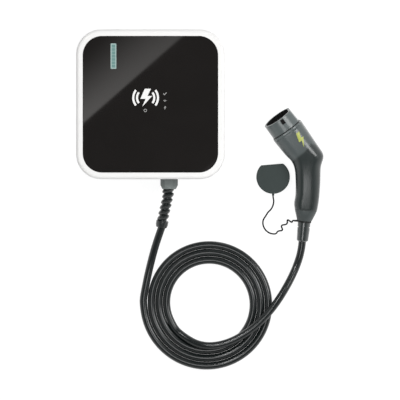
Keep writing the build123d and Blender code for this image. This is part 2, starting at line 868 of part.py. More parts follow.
def contact_places():
    """Name, place towards the flat, place to the side and bore of each contact."""
    return (
        ("l1", 0.0, middle_side, power_bore_r),
        ("pe", 0.0, 0.0, power_bore_r),
        ("n", 0.0, -middle_side, power_bore_r),
        ("l2", -lower_row, lower_side, power_bore_r),
        ("l3", -lower_row, -lower_side, power_bore_r),
        ("cp", signal_row, signal_side, signal_bore_r),
        ("pp", signal_row, -signal_side, signal_bore_r),
    )


def contact_carrier():
    """The block in the shroud that holds the contacts, each in its own low turret."""
    face = nose_flange_t + nose_len - carrier_recess
    inset = nose_wall + cable_gap
    seat = d_outline(nose_r - inset, nose_flat - inset, nose_bore_corner)
    body = extrude(seat, carrier_seat)
    core = nose_wall + carrier_moat
    body += extrude(d_outline(nose_r - core, nose_flat - core, nose_bore_corner), face - turret_h)
    for name, up, side, bore in contact_places():
        body += rod(bore + contact_wall + turret_wall, 0, face, up, side)
    for name, up, side, bore in contact_places():
        body -= rod(bore + contact_wall, -1, face - contact_recess, up, side)
        body -= rod(bore, 0, face + 1, up, side)
    return body_plane(body_len) * body


def contact(up, side, bore):
    """One contact sleeve: a tube, closed at the back."""
    front = nose_flange_t + nose_len - carrier_recess - contact_recess
    sleeve = rod(bore + contact_wall, front - contact_len, front, up, side)
    sleeve -= rod(bore, front - contact_bore_len, front + 1, up, side)
    return body_plane(body_len) * sleeve


def nose_screws():
    """The two screws that hold the nose on the handle."""
    one = screw(nose_screw_r, nose_screw_len - nose_screw_head_t, nose_screw_head_r, nose_screw_head_t)
    seat = body_plane(body_len + nose_flange_t - nose_screw_head_t)
    flip = Rot(180, 0, 0)
    return [seat * Pos(nose_screw_up, side * nose_screw_side, 0) * flip * one for side in (-1, 1)]


def handle_cores():
    """The cores from the contacts through the bend to the cable's end."""
    front = nose_flange_t + nose_len - carrier_recess - contact_recess
    start = body_plane(body_len + front - contact_len)
    middle = body_plane(core_bend_at)
    end = tail_place(-2 * clamp_len)
    cores = []
    for name, up, side, bore in contact_places():
        size = core_r if bore == power_bore_r else signal_core_r
        spots = [start.from_local_coords((up, side, -cable_gap)),
                 start.from_local_coords((up, side, -core_straight)),
                 middle.from_local_coords((up * core_squeeze + core_drift, side * core_squeeze, 0)),
                 end.from_local_coords((up * core_bundle, -side * core_bundle, -core_straight)),
                 end.from_local_coords((up * core_bundle, -side * core_bundle, -cable_gap))]
        path = Wire(tube_path(spots)[0].edges())
        cores.append(sweep(Plane(origin=path @ 0, z_dir=path % 0) * Circle(size), path=path))
    return cores


def tail_nut():
    """The nut at the end of the grip: a cone with a spigot that reaches into the handle."""
    outline = Polyline((0, 0), (tail_nut_r, 0), (tail_nut_r, tail_nut_rim), (tail_nut_end_r, tail_nut_len),
                       (0, tail_nut_len), close=True)
    nut = revolve(Plane.XZ * make_face(outline), Axis.Z)
    nut = fillet(nut.edges().filter_by(GeomType.CIRCLE).sort_by(Axis.Z)[-1:], tail_nut_edge)
    nut += rod(tail_bore_r - tail_gap, -tail_nut_spigot, 0)
    return tail_place() * (nut - rod(cable_r + cable_gap, -case_d, case_d))


def tail_clamp():
    """The ring that grips the jacket inside the handle, against the nut's spigot."""
    ring = rod(clamp_r, -tail_nut_spigot - clamp_len, -tail_nut_spigot)
    return tail_place() * (ring - rod(cable_r, -case_d, case_d))


def lanyard_eyelet():
    """The ring of the lanyard round the boot's neck, with its tab."""
    ring = rod(eyelet_r, 0, eyelet_t)
    tab = Pos(-eyelet_r + 1, 0, eyelet_t / 2) * Rot(0, -90, 0)
    tab *= Cylinder(eyelet_tab_r, eyelet_tab_reach - eyelet_r + 1, align=CENTRE_MIN)
    return tail_place(tail_nut_len) * (ring + tab - rod(cable_r + cable_gap, -1, eyelet_t + 1))


def tail_boot():
    """The soft boot round the lead, with one groove and a rounded tip."""
    groove = boot_groove_at + boot_groove_w
    outline = Polyline((0, 0), (boot_r, 0), (boot_r, boot_groove_at),
                       (boot_r - boot_groove_depth, boot_groove_at),
                       (boot_r - boot_groove_depth, groove), (boot_r, groove),
                       (boot_end_r, boot_len - boot_tip), (boot_end_r - boot_tip, boot_len),
                       (0, boot_len), close=True)
    boot = revolve(Plane.XZ * make_face(outline), Axis.Z)
    return tail_place(boot_top) * (boot - rod(cable_r + cable_gap, -1, boot_len + 1))


def cable_handle_end():
    """The end of the lead inside the boot, the nut and the clamp."""
    return tail_place() * rod(cable_r, -2 * clamp_len, boot_end)


def connector_parts():
    """Every piece of the connector, in the connector's own frame."""
    parts = {
        "handle_shell": handle_shell(),
        "connector_nose": connector_nose(),
        "nose_seal": nose_seal(),
        "contact_carrier": contact_carrier(),
        "nose_screws": nose_screws(),
        "handle_cores": handle_cores(),
        "tail_nut": tail_nut(),
        "tail_clamp": tail_clamp(),
        "tail_boot": tail_boot(),
        "lanyard_eyelet": lanyard_eyelet(),
        "cable_handle_end": cable_handle_end(),
    }
    for name, up, side, bore in contact_places():
        parts["contact_" + name] = contact(up, side, bore)
    return parts


# Dust cap and lanyard


def dust_cap():
    """The cap: a lid with the nose's outline and a skirt that fits inside the shroud."""
    lid = extrude(d_outline(cap_r, cap_flat, cap_corner), cap_lid_t)
    lid = fillet(lid.faces().sort_by(Axis.Z)[-1].outer_wire().edges(), cap_edge)
    inset = nose_wall + cap_fit
    skirt = d_outline(cap_r - inset, cap_flat - inset, cap_corner)
    inset += cap_skirt_t
    hollow = d_outline(cap_r - inset, cap_flat - inset, cap_corner)
    skirt = Pos(0, 0, -cap_skirt_h) * extrude(skirt - hollow, cap_skirt_h)
    cap = Pos(0, 0, cap_skirt_h) * Rot(0, 0, cap_turn) * (lid + skirt)
    tab = Rot(90, 0, 0) * Cylinder(cap_tab_r, cap_r + cap_tab_reach, align=CENTRE_MIN)
    cap += Pos(0, 0, cap_skirt_h + cap_lid_t / 2) * (tab - Box(cap_r, cap_r, cap_r))
    return Pos(cap_x, cap_y, 0) * cap


def lanyard_route():
    """From the eyelet on the connector, down to the floor and in small bends to the cap."""
    ring = tail_place(tail_nut_len + eyelet_t / 2)
    exit_point = laid(ring.origin - ring.x_dir * eyelet_tab_reach)
    side = (exit_point - laid(ring.origin)).normalized()
    floor = lanyard_d / 2
    lid = cap_skirt_h + cap_lid_t / 2
    tab_y = cap_y - cap_r - cap_tab_reach
    return [
        tuple(exit_point),
        tuple(exit_point + side * lanyard_straight),
        (238.6, -197.0, 4.6),
        (234.4, -199.4, floor),
        (233.8, -205.6, floor),
        (226.4, -209.4, floor),
        (226.2, -216.4, floor),
        (219.6, -217.6, floor),
        (216.0, -222.0, floor),
        (208.0, -222.6, floor),
        (201.6, -219.4, floor),
        (196.4, -214.4, floor),
        (193.2, -206.0, floor),
        (193.8, -198.4, floor),
        (198.6, -191.6, floor),
        (202.4, -185.0, floor),
        (207.6, -180.8, 1.7),
        (211.6, -172.6, 3.6),
        (212.2, -164.6, 9.8),
        (cap_x, tab_y - lanyard_end_straight, lid),
        (cap_x, tab_y, lid),
    ]


# Everything together


def box_parts():
    """Every piece of the box, its gland and its bend relief."""
    board_holes = corners(board_w / 2 - board_hole_inset, board_h / 2 - board_hole_inset, y=board_y)
    output_terminal = terminal(gland_x)
    return {
        "rear_housing": rear_housing(),
        "front_cover": front_cover(),
        "case_seal": seal_ring(0, seal_t - seal_gap),
        "case_screws": case_screws(),
        "front_glass": front_glass(),
        "glass_bond": glass_bond(),
        "light_bar": light_bar(),
        "wall_bracket": wall_bracket(),
        "bracket_lock_screws": bracket_lock_screws(),
        "supply_grommet": supply_grommet(),
        "main_board": board(board_w, board_h, board_z, board_hole_inset, 0, board_y),
        "board_screws": small_screws(board_holes, board_top, board_screw_len, 180),
        "power_relays": power_relays(),
        "supply_terminal": terminal(supply_terminal_x),
        "output_terminal": output_terminal,
        "power_supply_module": block(psu_size, psu_x, psu_y, board_top, part_edge),
        "radio_module": block(radio_size, radio_x, radio_y, board_top, part_edge),
        "display_board": board(display_w, display_h, display_z, display_hole_inset, display_x, display_y),
        "display_screws": small_screws(display_holes(), display_z, display_screw_len, 0),
        "status_leds": status_leds(),
        "card_antenna": card_antenna(),
        "fault_current_sensor": fault_current_sensor(),
        "output_cores": output_cores(),
        "gland_body": gland_body(),
        "gland_locknut": gland_locknut(),
        "gland_seal": gland_seal(),
        "gland_cap": gland_cap(),
        "bend_relief": bend_relief(),
        "cable_gland_end": cable_gland_end(),
    }


def all_parts():
    """Every node by its name."""
    parts = box_parts()
    for name, shape in connector_parts().items():
        solids = shape if isinstance(shape, list) else [shape]
        parts[name] = [connector_place * solid for solid in solids]
    parts["cable_lead"] = tube(lead_route(), cable_d, "cable_lead")
    parts["cable_coil"] = cable_coil()
    parts["cable_tail"] = tube(tail_route(), cable_d, "cable_tail")
    parts["dust_cap"] = dust_cap()
    parts["cap_lanyard"] = tube(lanyard_route(), lanyard_d, "cap_lanyard")
    return parts


os.makedirs("parts", exist_ok=True)
for node, shape in all_parts().items():
    if isinstance(shape, list):
        shape = Compound(children=[solid for part in shape for solid in part.solids()])
    export_step(shape, "parts/" + node + ".step")
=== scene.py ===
import bmesh
import bpy
import math
from bpy.props import FloatProperty, FloatVectorProperty, IntProperty, PointerProperty
from mathutils import Matrix, Vector
from mathutils.bvhtree import BVHTree


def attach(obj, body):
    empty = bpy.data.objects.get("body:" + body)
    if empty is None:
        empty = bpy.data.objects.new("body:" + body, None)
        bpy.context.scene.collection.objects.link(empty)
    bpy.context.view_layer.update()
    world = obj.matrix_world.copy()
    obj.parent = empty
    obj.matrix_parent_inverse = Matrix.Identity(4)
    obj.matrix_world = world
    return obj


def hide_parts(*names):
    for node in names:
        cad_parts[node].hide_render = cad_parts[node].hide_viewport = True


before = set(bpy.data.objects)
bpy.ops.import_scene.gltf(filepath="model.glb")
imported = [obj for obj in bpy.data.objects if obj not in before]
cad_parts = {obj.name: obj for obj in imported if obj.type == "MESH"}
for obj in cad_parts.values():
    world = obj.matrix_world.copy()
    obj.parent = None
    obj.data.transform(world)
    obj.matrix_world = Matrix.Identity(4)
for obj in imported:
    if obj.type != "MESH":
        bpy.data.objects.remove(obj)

bl_info = {
    "name": "Wall charging box",
    "version": (1, 0, 0),
    "blender": (4, 5, 0),
    "location": "3D View > Sidebar > Wallbox",
    "description": "Builds a wall charging box with its coiled lead, connector and dust cap",
    "category": "Object",
}

# Lengths are in metres unless a comment says otherwise, and angles in degrees

# The body that every piece rides on
BODY = "root"

# Height of the glass over the wall plane, and how far a print reaches into what it lies on
GLASS_TOP = 0.085
PRINT_DEPTH = 0.0002

# Middles of the printed signs and of the light bar, seen from the front
MAIN_SIGN = (-0.0082, 0.0112)
RING_SIGN = (-0.0088, -0.0105)
SMALL_SIGNS = ((0.0249, 0.0181), (0.0249, 0.0057), (0.0249, -0.0065))
LIGHT_BAR = (-0.0634, 0.0826)
CONNECTOR_SIGN = (0.2589, -0.0607)

# Corners of the bolt and of the tick, which fit in a square of two by two
BOLT = ((-0.10, 1.0), (0.60, 1.0), (0.20, 0.20), (0.72, 0.20), (-0.38, -1.0), (0.0, -0.12),
        (-0.58, -0.12))
TICK = ((-1.0, 0.0), (-0.72, 0.28), (-0.25, -0.2), (0.75, 0.72), (1.0, 0.42), (-0.25, -0.78))
# Corners of each flat face of the bolt on the connector
BOLT_FACES = ((0, 1, 2, 6), (6, 2, 5), (2, 3, 4, 5))
# What their corners are scaled by; on the connector over the width and over the height
BOLT_SIZE = 0.0155
CONNECTOR_BOLT = (0.0092, 0.0135)
TICK_SIZE = 0.0034
SMALL_BOLT_SIZE = 0.0031
# Radii and width of the arcs beside the bolt, the angle that each covers and its middle
ARC_RADII = (0.0148, 0.0212)
ARC_WIDTH = 0.0036
ARC_SWEEP = 76.0
ARC_MIDDLES = (0.0, 180.0)
# The small ring and the small arcs, whose centre lies a little under their sign's middle
RING_RADIUS = 0.0023
SMALL_ARC_RADII = (0.0014, 0.0034)
SMALL_ARC_DROP = 0.0020
SMALL_WIDTH = 0.0011
# The lit segments: the length of their row, half the width of one, half its height as a share
# of the pitch, and its corner
BAR_LENGTH = 0.0400
SEGMENT_HALF = 0.0030
SEGMENT_FILL = 0.44
SEGMENT_CORNER = 0.0006

# The connector lies with its elbow here, its nose up by TILT and its body turned by BODY_LEAN
ELBOW = (0.2705, -0.0933, 0.025838)
TILT = 6.4425
BODY_LEAN = 35.7
# Sections of the handle, of the nut behind it and of the collar at its front, in millimetres:
# how far each is turned, its centre, its width, its thickness and its corner
HANDLE_SECTIONS = (
    (35.7, -34.25, 47.67, 57.7, 62.0, 23.0), (35.7, -24.3, 34.1, 56.4, 58.2, 22.8),
    (35.7, -14.3, 20.5, 55.0, 54.5, 22.5), (20.0, -5.3, 9.2, 54.0, 50.0, 20.0),
    (12.0, 2.0, -0.4, 57.7, 46.0, 18.5), (7.0, -0.2, -12.5, 45.2, 42.5, 17.0),
    (0.0, 0.4, -26.0, 43.4, 39.5, 16.5), (0.0, 0.5, -42.0, 42.4, 37.5, 16.0),
    (0.0, 0.0, -58.0, 41.4, 36.0, 15.5), (-2.0, -0.8, -68.0, 41.2, 34.5, 15.0),
    (-4.0, -2.8, -78.0, 42.4, 33.0, 14.5), (-5.6, -3.0, -88.0, 38.8, 31.0, 14.0),
)
NUT_SECTIONS = (
    (-5.6, -3.15, -88.2, 38.4, 30.8, 14.0), (-5.6, -3.5, -91.5, 36.4, 30.2, 14.0),
    (-5.6, -5.45, -106.2, 25.8, 25.8, 12.7), (-5.6, -5.57, -107.0, 24.4, 24.4, 12.0),
)
COLLAR_SECTIONS = (
    (35.7, -34.25, 47.67, 57.3, 61.6, 22.9), (35.7, -35.5, 49.4, 57.3, 61.6, 22.9),
    (35.7, -36.0, 50.1, 55.6, 59.9, 22.0),
)
# Thickness of the handle's wall
HANDLE_WALL = 0.0028

# The collar's plane lies this far from the elbow; the nose is measured from there
COLLAR_ALONG = 0.0587
NOSE_R = 0.0274
NOSE_FLAT = 0.0240
NOSE_CORNER = 0.004
NOSE_TOP = 0.0325
NOSE_WALL = 0.0032
MOUTH_SLANT = 6.0
# Share by which the nose's flat side is further out at the collar
NOSE_DRAFT = 0.075
# Floor of the opening, and the face of the contacts' block on it
SOCKET_FLOOR = 0.0120
SOCKET_FACE = 0.0235
# The lock's slots: their middle towards the flat, half their width, their ends and their depth
SLOT_SIDE = 0.0040
SLOT_HALF = 0.0034
SLOT_FROM = 0.0162
SLOT_TO = 0.0249
SLOT_DEPTH = 0.0028
# The seal round the nose: how far it stands out, its corner, its thickness and its lower face
SEAL_LIP = 0.0005
SEAL_CORNER = 0.0045
SEAL_THICK = 0.0012
SEAL_FROM = 0.0030
# Room between the shroud and the contacts' block, and the block's corner
BLOCK_ROOM = 0.0032
BLOCK_CORNER = 0.003
# Places of the contacts towards the flat and to the side, and their bores
CONTACTS = ((0.0, 0.0160, 0.0030), (0.0, 0.0, 0.0030), (0.0, -0.0160, 0.0030),
            (-0.0138, 0.0088, 0.0030), (-0.0138, -0.0088, 0.0030), (0.0112, 0.0074, 0.0015),
            (0.0112, -0.0074, 0.0015))
# Radii of the rim and of the sleeve at each socket, from its bore, and their ends over the face
RIM_RADII = (0.0, 0.0014)
RIM_ENDS = (-0.0002, 0.0015)
SLEEVE_RADII = (-0.0007, -0.0001)
SLEEVE_ENDS = (-0.0001, 0.0008)

# The lanyard's ring round the boot: its section's turn and centre, its radii and its two faces
RING_SECTION = (-5.6, -0.00567, -0.1072)
RING_RADII = (0.0100, 0.0121)
RING_FACES = (-0.0001, 0.0028)
# Its lug: the middle, the length and the radii at its two ends
LUG = (0.2502, -0.19995, 0.0140)
LUG_LENGTH = 0.0068
LUG_RADII = (0.0019, 0.0014)

# Lines over the handle, between its colours and round its crease: a point and the way across
BODY_END = ((0.2573, -0.0876, 0.0), (-0.62, 0.78, 0.0))
ELBOW_LEFT = ((0.2722, -0.0727, 0.0), (-0.83, 0.553, 0.0))
ELBOW_RIGHT = ((0.2862, -0.0762, 0.0), (0.72, 0.69, 0.0))
GRIP_CREASE = ((0.2762, -0.1330, 0.0), (0.9989, 0.0465, 0.0))
CREASE_TOP = ((0.2762, -0.1000, 0.0), (0.0, -1.0, 0.0))
CREASE_FOOT = ((0.2762, -0.1700, 0.0), (0.0, 1.0, 0.0))

# Nodes of the frame for the contacts in the connector, on the lead's far end
CONTACT_NODES = ("contact_l1", "contact_l2", "contact_l3", "contact_n", "contact_pe",
                 "contact_cp", "contact_pp")

# The lead's route, as in the part's source but for its first point, 2 mm up in the relief's
# cuff: from the bend relief down to the floor
LEAD_START = (
    (0.0195, -0.2104, 0.0253), (0.0133, -0.2278, 0.0211), (0.0064, -0.2495, 0.0150),
    (0.0002, -0.2730, 0.0094), (-0.0052, -0.2960, 0.0067), (-0.0092, -0.3160, 0.0065),
    (-0.0119, -0.3301, 0.0065),
)
# The coil: its centre, its outer turn's radius, the pitch of its turns, the points of one turn
# and the steps of the whole
COIL_CENTRE = (0.0989, -0.3426, 0.0065)
COIL_RADIUS = 0.1108
COIL_PITCH = 0.0131
COIL_STEPS = 24
COIL_POINTS = 74
# From the coil's inner end over the other turns and down to the connector
LEAD_END = (
    (0.0449, -0.3899, 0.0065), (0.0596, -0.4013, 0.0096), (0.0774, -0.4116, 0.0154),
    (0.0960, -0.4158, 0.0202), (0.1160, -0.4146, 0.0210), (0.1380, -0.4084, 0.0210),
    (0.1606, -0.3964, 0.0210), (0.1800, -0.3824, 0.0210), (0.1980, -0.3646, 0.0210),
    (0.2140, -0.3454, 0.0210), (0.2284, -0.3236, 0.0180), (0.2416, -0.3000, 0.0124),
    (0.2520, -0.2770, 0.0082), (0.2597, -0.2523, 0.0080), (0.2614, -0.2355, 0.0099),
)
LANYARD = (
    (0.2473, -0.1997, 0.0138), (0.2444, -0.1994, 0.0138), (0.2436, -0.2038, 0.0080),
    (0.2350, -0.1966, 0.0040), (0.2362, -0.2066, 0.0014),
    (0.2236, -0.2074, 0.0013), (0.2290, -0.2171, 0.0013), (0.2190, -0.2174, 0.0013),
    (0.2166, -0.2230, 0.0013), (0.2080, -0.2226, 0.0013), (0.2016, -0.2194, 0.0013),
    (0.1964, -0.2144, 0.0013), (0.1932, -0.2060, 0.0013), (0.1938, -0.1984, 0.0013),
    (0.1986, -0.1916, 0.0013), (0.2024, -0.1850, 0.0013), (0.2076, -0.1808, 0.0017),
    (0.2116, -0.1726, 0.0036), (0.2122, -0.1646, 0.0098), (0.2110, -0.1606, 0.0140),
    (0.2110, -0.1566, 0.0140),
)

# The bend relief: middles of its ribs from the gland down, the way they face, the cable's end
# in the gland and the two ends of the cuff
RIBS = (
    (0.0303, -0.1478, 0.0329), (0.0300, -0.1564, 0.0326), (0.0279, -0.1660, 0.0318),
    (0.0258, -0.1753, 0.0307), (0.0237, -0.1847, 0.0294), (0.0217, -0.1940, 0.0278),
)
RIB_FACING = (0.275, -0.957, -0.100)
GLAND_INSIDE = (0.0306, -0.1200, 0.0330)
CUFF = ((0.0206, -0.1995, 0.0269), (0.0187, -0.2108, 0.0251))
# Radii of the relief's core and of the cable in it. Spun profiles start this far off the axis
CORE_RADIUS = 0.0070
INNER_RADIUS = 0.0062
OFF_AXIS = 0.0001
# Radius and height along a rib, and along the cuff up to its mouth
RIB_PROFILE = (
    (OFF_AXIS, -0.0047), (0.0066, -0.0045), (0.0084, -0.0033), (0.0099, -0.0018),
    (0.0108, -0.0003), (0.0104, 0.0013), (0.0088, 0.0031), (0.0068, 0.0045), (OFF_AXIS, 0.0047),
)
CUFF_PROFILE = ((OFF_AXIS, 0.0), (0.0096, 0.0), (0.0106, 0.0010), (0.0106, 0.0072))
CUFF_MOUTH = 0.0094
CUFF_BORE = 0.0066
CUFF_FLOOR = 0.0040

# Camera straight over the set: its place, lens and sensor in millimetres, the width that it
# shows at the height it looks at
CAMERA_SPOT = (0.0851, -0.1643)
CAMERA_LENS = 1000.0
CAMERA_SENSOR = 36.0
VIEW_WIDTH = 0.688
VIEW_HEIGHT = 0.043
# Half the side of the floor and of the card that the glass mirrors, and the card's place
FLOOR_HALF = 7.0
WINDOW_HALF = 0.2
WINDOW_PLACE = (-0.0068, 0.0678, 0.4)
WINDOW_TURN = 41.2
# Each lamp's name, place, target, diameter and power in watts
LAMPS = (
    ("key_lamp", (-0.25, 0.45, 1.9), (0.08, -0.16, 0.0), 0.35, 7.4),
    ("side_lamp", (1.25, 0.15, 1.25), (0.20, -0.16, 0.0), 0.75, 12.3),
    ("cable_lamp", (0.10, -0.50, 1.60), (0.05, -0.30, 0.0), 0.6, 4.2),
)

# What the finishes share: the noise of their grain and drift, the bump's depth in grains, how
# far roughness varies, and the roughness of a coat
GRAIN_NOISE = 0.6
DRIFT_NOISE = 26.0
GRAIN_DEPTH = 0.35
ROUGH_SPREAD = 0.05
COAT_ROUGH = 0.17
# Angles under which an edge is shaded smooth, on plain and on round pieces
SMOOTH_PLAIN = 30.0
SMOOTH_ROUND = 40.0


# Sizes and colours that a user would change


class WallboxSizes(bpy.types.PropertyGroup):
    """Sizes that a user would change"""
    cable_diameter: FloatProperty(
        name="Cable diameter", description="Outside diameter of the charging lead",
        default=0.013, unit="LENGTH")
    lanyard_diameter: FloatProperty(
        name="Lanyard diameter", description="Outside diameter of the dust cap's lanyard",
        default=0.0026, unit="LENGTH")
    print_height: FloatProperty(
        name="Print height", description="How far the printed signs stand on the glass",
        default=0.00008, unit="LENGTH")
    bar_segments: IntProperty(
        name="Light bar segments", description="Number of lit segments in the light bar",
        default=7, min=1, max=20)
    grain: FloatProperty(
        name="Moulding grain", description="Size of the grain on the moulded plastic",
        default=0.0006, unit="LENGTH")


class WallboxColours(bpy.types.PropertyGroup):
    """Colours that a user would change"""
    case: FloatVectorProperty(
        name="Case", description="Colour of the white front cover",
        default=(0.90, 0.895, 0.885), subtype="COLOR")
    rear: FloatVectorProperty(
        name="Rear housing", description="Colour of the housing behind the cover",
        default=(0.42, 0.43, 0.44), subtype="COLOR")
    glass: FloatVectorProperty(
        name="Glass", description="Colour behind the black front glass",
        default=(0.0150, 0.0136, 0.0130), subtype="COLOR")
    bar: FloatVectorProperty(
        name="Light bar", description="Colour of the lit segments",
        default=(0.10, 0.245, 0.225), subtype="COLOR")
    bar_border: FloatVectorProperty(
        name="Light bar border", description="Colour of the diffuser round the segments",
        default=(0.31, 0.44, 0.42), subtype="COLOR")
    sign: FloatVectorProperty(
        name="Main sign", description="Colour of the large printed sign",
        default=(0.90, 0.90, 0.89), subtype="COLOR")
    small_sign: FloatVectorProperty(
        name="Small signs", description="Colour of the small printed signs",
        default=(0.33, 0.33, 0.32), subtype="COLOR")
    cable: FloatVectorProperty(
        name="Cable", description="Colour of the lead's jacket",
        default=(0.006, 0.009, 0.009), subtype="COLOR")
    gland: FloatVectorProperty(
        name="Gland", description="Colour of the cable gland",
        default=(0.20, 0.225, 0.22), subtype="COLOR")
    connector: FloatVectorProperty(
        name="Connector", description="Colour of the connector's nose and body",
        default=(0.075, 0.091, 0.091), subtype="COLOR")
    grip: FloatVectorProperty(
        name="Grip", description="Colour of the connector's soft grip",
        default=(0.012, 0.019, 0.018), subtype="COLOR")
    cap: FloatVectorProperty(
        name="Dust cap", description="Colour of the dust cap's rubber",
        default=(0.036, 0.048, 0.046), subtype="COLOR")
    mark: FloatVectorProperty(
        name="Connector sign", description="Colour of the sign on the connector",
        default=(0.40, 0.44, 0.075), subtype="COLOR")


def sizes():
    """The sizes of this scene."""
    return bpy.context.scene.wallbox_sizes


def colours():
    """The colours of this scene."""
    return bpy.context.scene.wallbox_colours


# Materials


def node(tree, kind, inputs=None, **settings):
    """Adds one node with its settings and the values or links of its inputs."""
    made = tree.nodes.new(kind)
    for name, value in settings.items():
        setattr(made, name, value)
    for name, value in (inputs or {}).items():
        socket = made.inputs[name]
        if isinstance(value, bpy.types.NodeSocket):
            tree.links.new(value, socket)
        else:
            socket.default_value = value
    return made


def emptied(holder):
    """Gives a material or a world an empty node tree."""
    holder.use_nodes = True
    holder.node_tree.nodes.clear()
    return holder.node_tree


def new_material(name):
    """An empty node material with its output and main shader."""
    material = bpy.data.materials.new(name)
    tree = emptied(material)
    shader = node(tree, "ShaderNodeBsdfPrincipled")
    node(tree, "ShaderNodeOutputMaterial", {"Surface": shader.outputs["BSDF"]})
    return material, tree, shader


def rgba(colour, factor=1.0):
    """A colour with its brightness scaled, as a node's socket takes it."""
    return (colour[0] * factor, colour[1] * factor, colour[2] * factor, 1.0)


def combine(tree, first, second, operation):
    """Joins two values by one operation."""
    return node(tree, "ShaderNodeMath", {0: first, 1: second}, operation=operation).outputs[0]


def ramp(tree, value, span, low, high, **settings):
    """Maps a value over a span to the range from low to high."""
    return node(tree, "ShaderNodeMapRange", {"Value": value, "From Min": span[0],
                "From Max": span[1], "To Min": low, "To Max": high}, **settings).outputs["Result"]


def blended(tree, factor, first, second):
    """Mixes two colours."""
    return node(tree, "ShaderNodeMix", {"Factor": factor, "A": first, "B": second},
                data_type="RGBA").outputs["Result"]


def noises(tree, place, grain):
    """The fine grain of a finish and the slow drift over it."""
    fine = node(tree, "ShaderNodeTexNoise", {"Vector": place, "Scale": GRAIN_NOISE / grain,
                "Detail": 4.0, "Roughness": 0.6})
    drift = node(tree, "ShaderNodeTexNoise",
                 {"Vector": place, "Scale": DRIFT_NOISE, "Detail": 3.0})
    return fine.outputs["Fac"], drift.outputs["Fac"]


def finish_shader(tree, shader, colour, rough, normal, specular, coat, coat_rough):
    """Links a finish to its main shader and sets the shader's plain values."""
    tree.links.new(colour, shader.inputs["Base Color"])
    tree.links.new(rough, shader.inputs["Roughness"])
    tree.links.new(normal, shader.inputs["Normal"])
    shader.inputs["Specular IOR Level"].default_value = specular
    shader.inputs["Coat Weight"].default_value = coat
    shader.inputs["Coat Roughness"].default_value = coat_rough


def surface(name, colour, rough, bump, grain=None, shift=0.12, specular=0.5, metallic=0.0,
            coat=0.0):
    """A moulded or metal finish: grain in bump and roughness, and a soft drift of the colour."""
    material, tree, shader = new_material(name)
    place = node(tree, "ShaderNodeTexCoord").outputs["Object"]
    grain = grain or sizes().grain
    fine, drift = noises(tree, place, grain)
    tone = blended(tree, drift, rgba(colour, 1 - shift), rgba(colour, 1 + shift))
    spread = ramp(tree, drift, (0.0, 1.0), rough - ROUGH_SPREAD, rough + ROUGH_SPREAD)
    relief = node(tree, "ShaderNodeBump",
                  {"Height": fine, "Strength": bump, "Distance": grain * GRAIN_DEPTH})
    finish_shader(tree, shader, tone, spread, relief.outputs["Normal"], specular, coat, COAT_ROUGH)
    shader.inputs["Metallic"].default_value = metallic
    return material


def beyond(tree, place, line, soft):
    """1 on the far side of a line over the object and 0 on its near side, soft between them."""
    spot, across = line
    away = node(tree, "ShaderNodeVectorMath", {0: place, 1: spot}, operation="SUBTRACT")
    reach = node(tree, "ShaderNodeVectorMath", {0: away.outputs["Vector"], 1: across},
                 operation="DOT_PRODUCT")
    return ramp(tree, reach.outputs["Value"], (-soft, soft), 0.0, 1.0,
                interpolation_type="SMOOTHSTEP")


def handle_finish():
    """Hard plastic on the body, a darker soft grip from the elbow on, and the grip's crease."""
    material, tree, shader = new_material("handle_plastic")
    place = node(tree, "ShaderNodeTexCoord").outputs["Object"]
    grain = sizes().grain
    fine, drift = noises(tree, place, grain)
    elbow = combine(tree, beyond(tree, place, ELBOW_LEFT, 0.002),
                    beyond(tree, place, ELBOW_RIGHT, 0.001), "MAXIMUM")
    body = combine(tree, beyond(tree, place, BODY_END, 0.003), elbow, "MULTIPLY")
    pair = blended(tree, body, rgba(colours().grip), rgba(colours().connector))
    dusty = ramp(tree, drift, (0.35, 0.75), 0.0, 0.2)
    tone = blended(tree, dusty, pair, (0.05, 0.06, 0.06, 1.0))
    spread = ramp(tree, body, (0.0, 1.0), 0.36, 0.46)
    within = combine(tree, beyond(tree, place, CREASE_TOP, 0.004),
                     beyond(tree, place, CREASE_FOOT, 0.004), "MULTIPLY")
    side = beyond(tree, place, GRIP_CREASE, 0.0022)
    valley = combine(tree, combine(tree, side, 0.5, "SUBTRACT"), 0.0, "ABSOLUTE")
    crease = combine(tree, combine(tree, valley, 0.5, "SUBTRACT"), within, "MULTIPLY")
    grained = node(tree, "ShaderNodeBump",
                   {"Height": fine, "Strength": 0.15, "Distance": grain * GRAIN_DEPTH})
    creased = node(tree, "ShaderNodeBump", {"Height": crease, "Strength": 1.0,
                   "Distance": 0.0016, "Normal": grained.outputs["Normal"]})
    finish_shader(tree, shader, tone, spread, creased.outputs["Normal"], 0.25, 0.8, 0.25)
    return material


def give(material, *names):
    """Puts a material on nodes of the frame."""
    for name in names:
        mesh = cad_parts[name].data
        mesh.materials.clear()
        mesh.materials.append(material)


# Meshes


def added(shape, before):
    """The points that a mesh has gained."""
    return [spot for spot in shape.verts if spot not in before]


def linked(name, data):
    """Makes an object of its data and puts it in the scene."""
    made = bpy.data.objects.new(name, data)
    bpy.context.scene.collection.objects.link(made)
    return made


def new_object(name, shape, material, smooth_below=SMOOTH_PLAIN):
    """Makes an object of a bmesh, with faces outward and sharp edges kept."""
    bmesh.ops.recalc_face_normals(shape, faces=shape.faces)
    mesh = bpy.data.meshes.new(name)
    shape.to_mesh(mesh)
    shape.free()
    mesh.shade_smooth()
    mesh.set_sharp_from_angle(angle=math.radians(smooth_below))
    mesh.materials.append(material)
    return linked(name, mesh)


def new_piece(name, shape, material, slot, *nodes, smooth_below=SMOOTH_PLAIN):
    """Makes a piece of the part on its body and hides the nodes that it replaces. The slot is not
    used.
    """
    made = new_object(name, shape, material, smooth_below)
    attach(made, BODY)
    if nodes:
        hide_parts(*nodes)
    return made


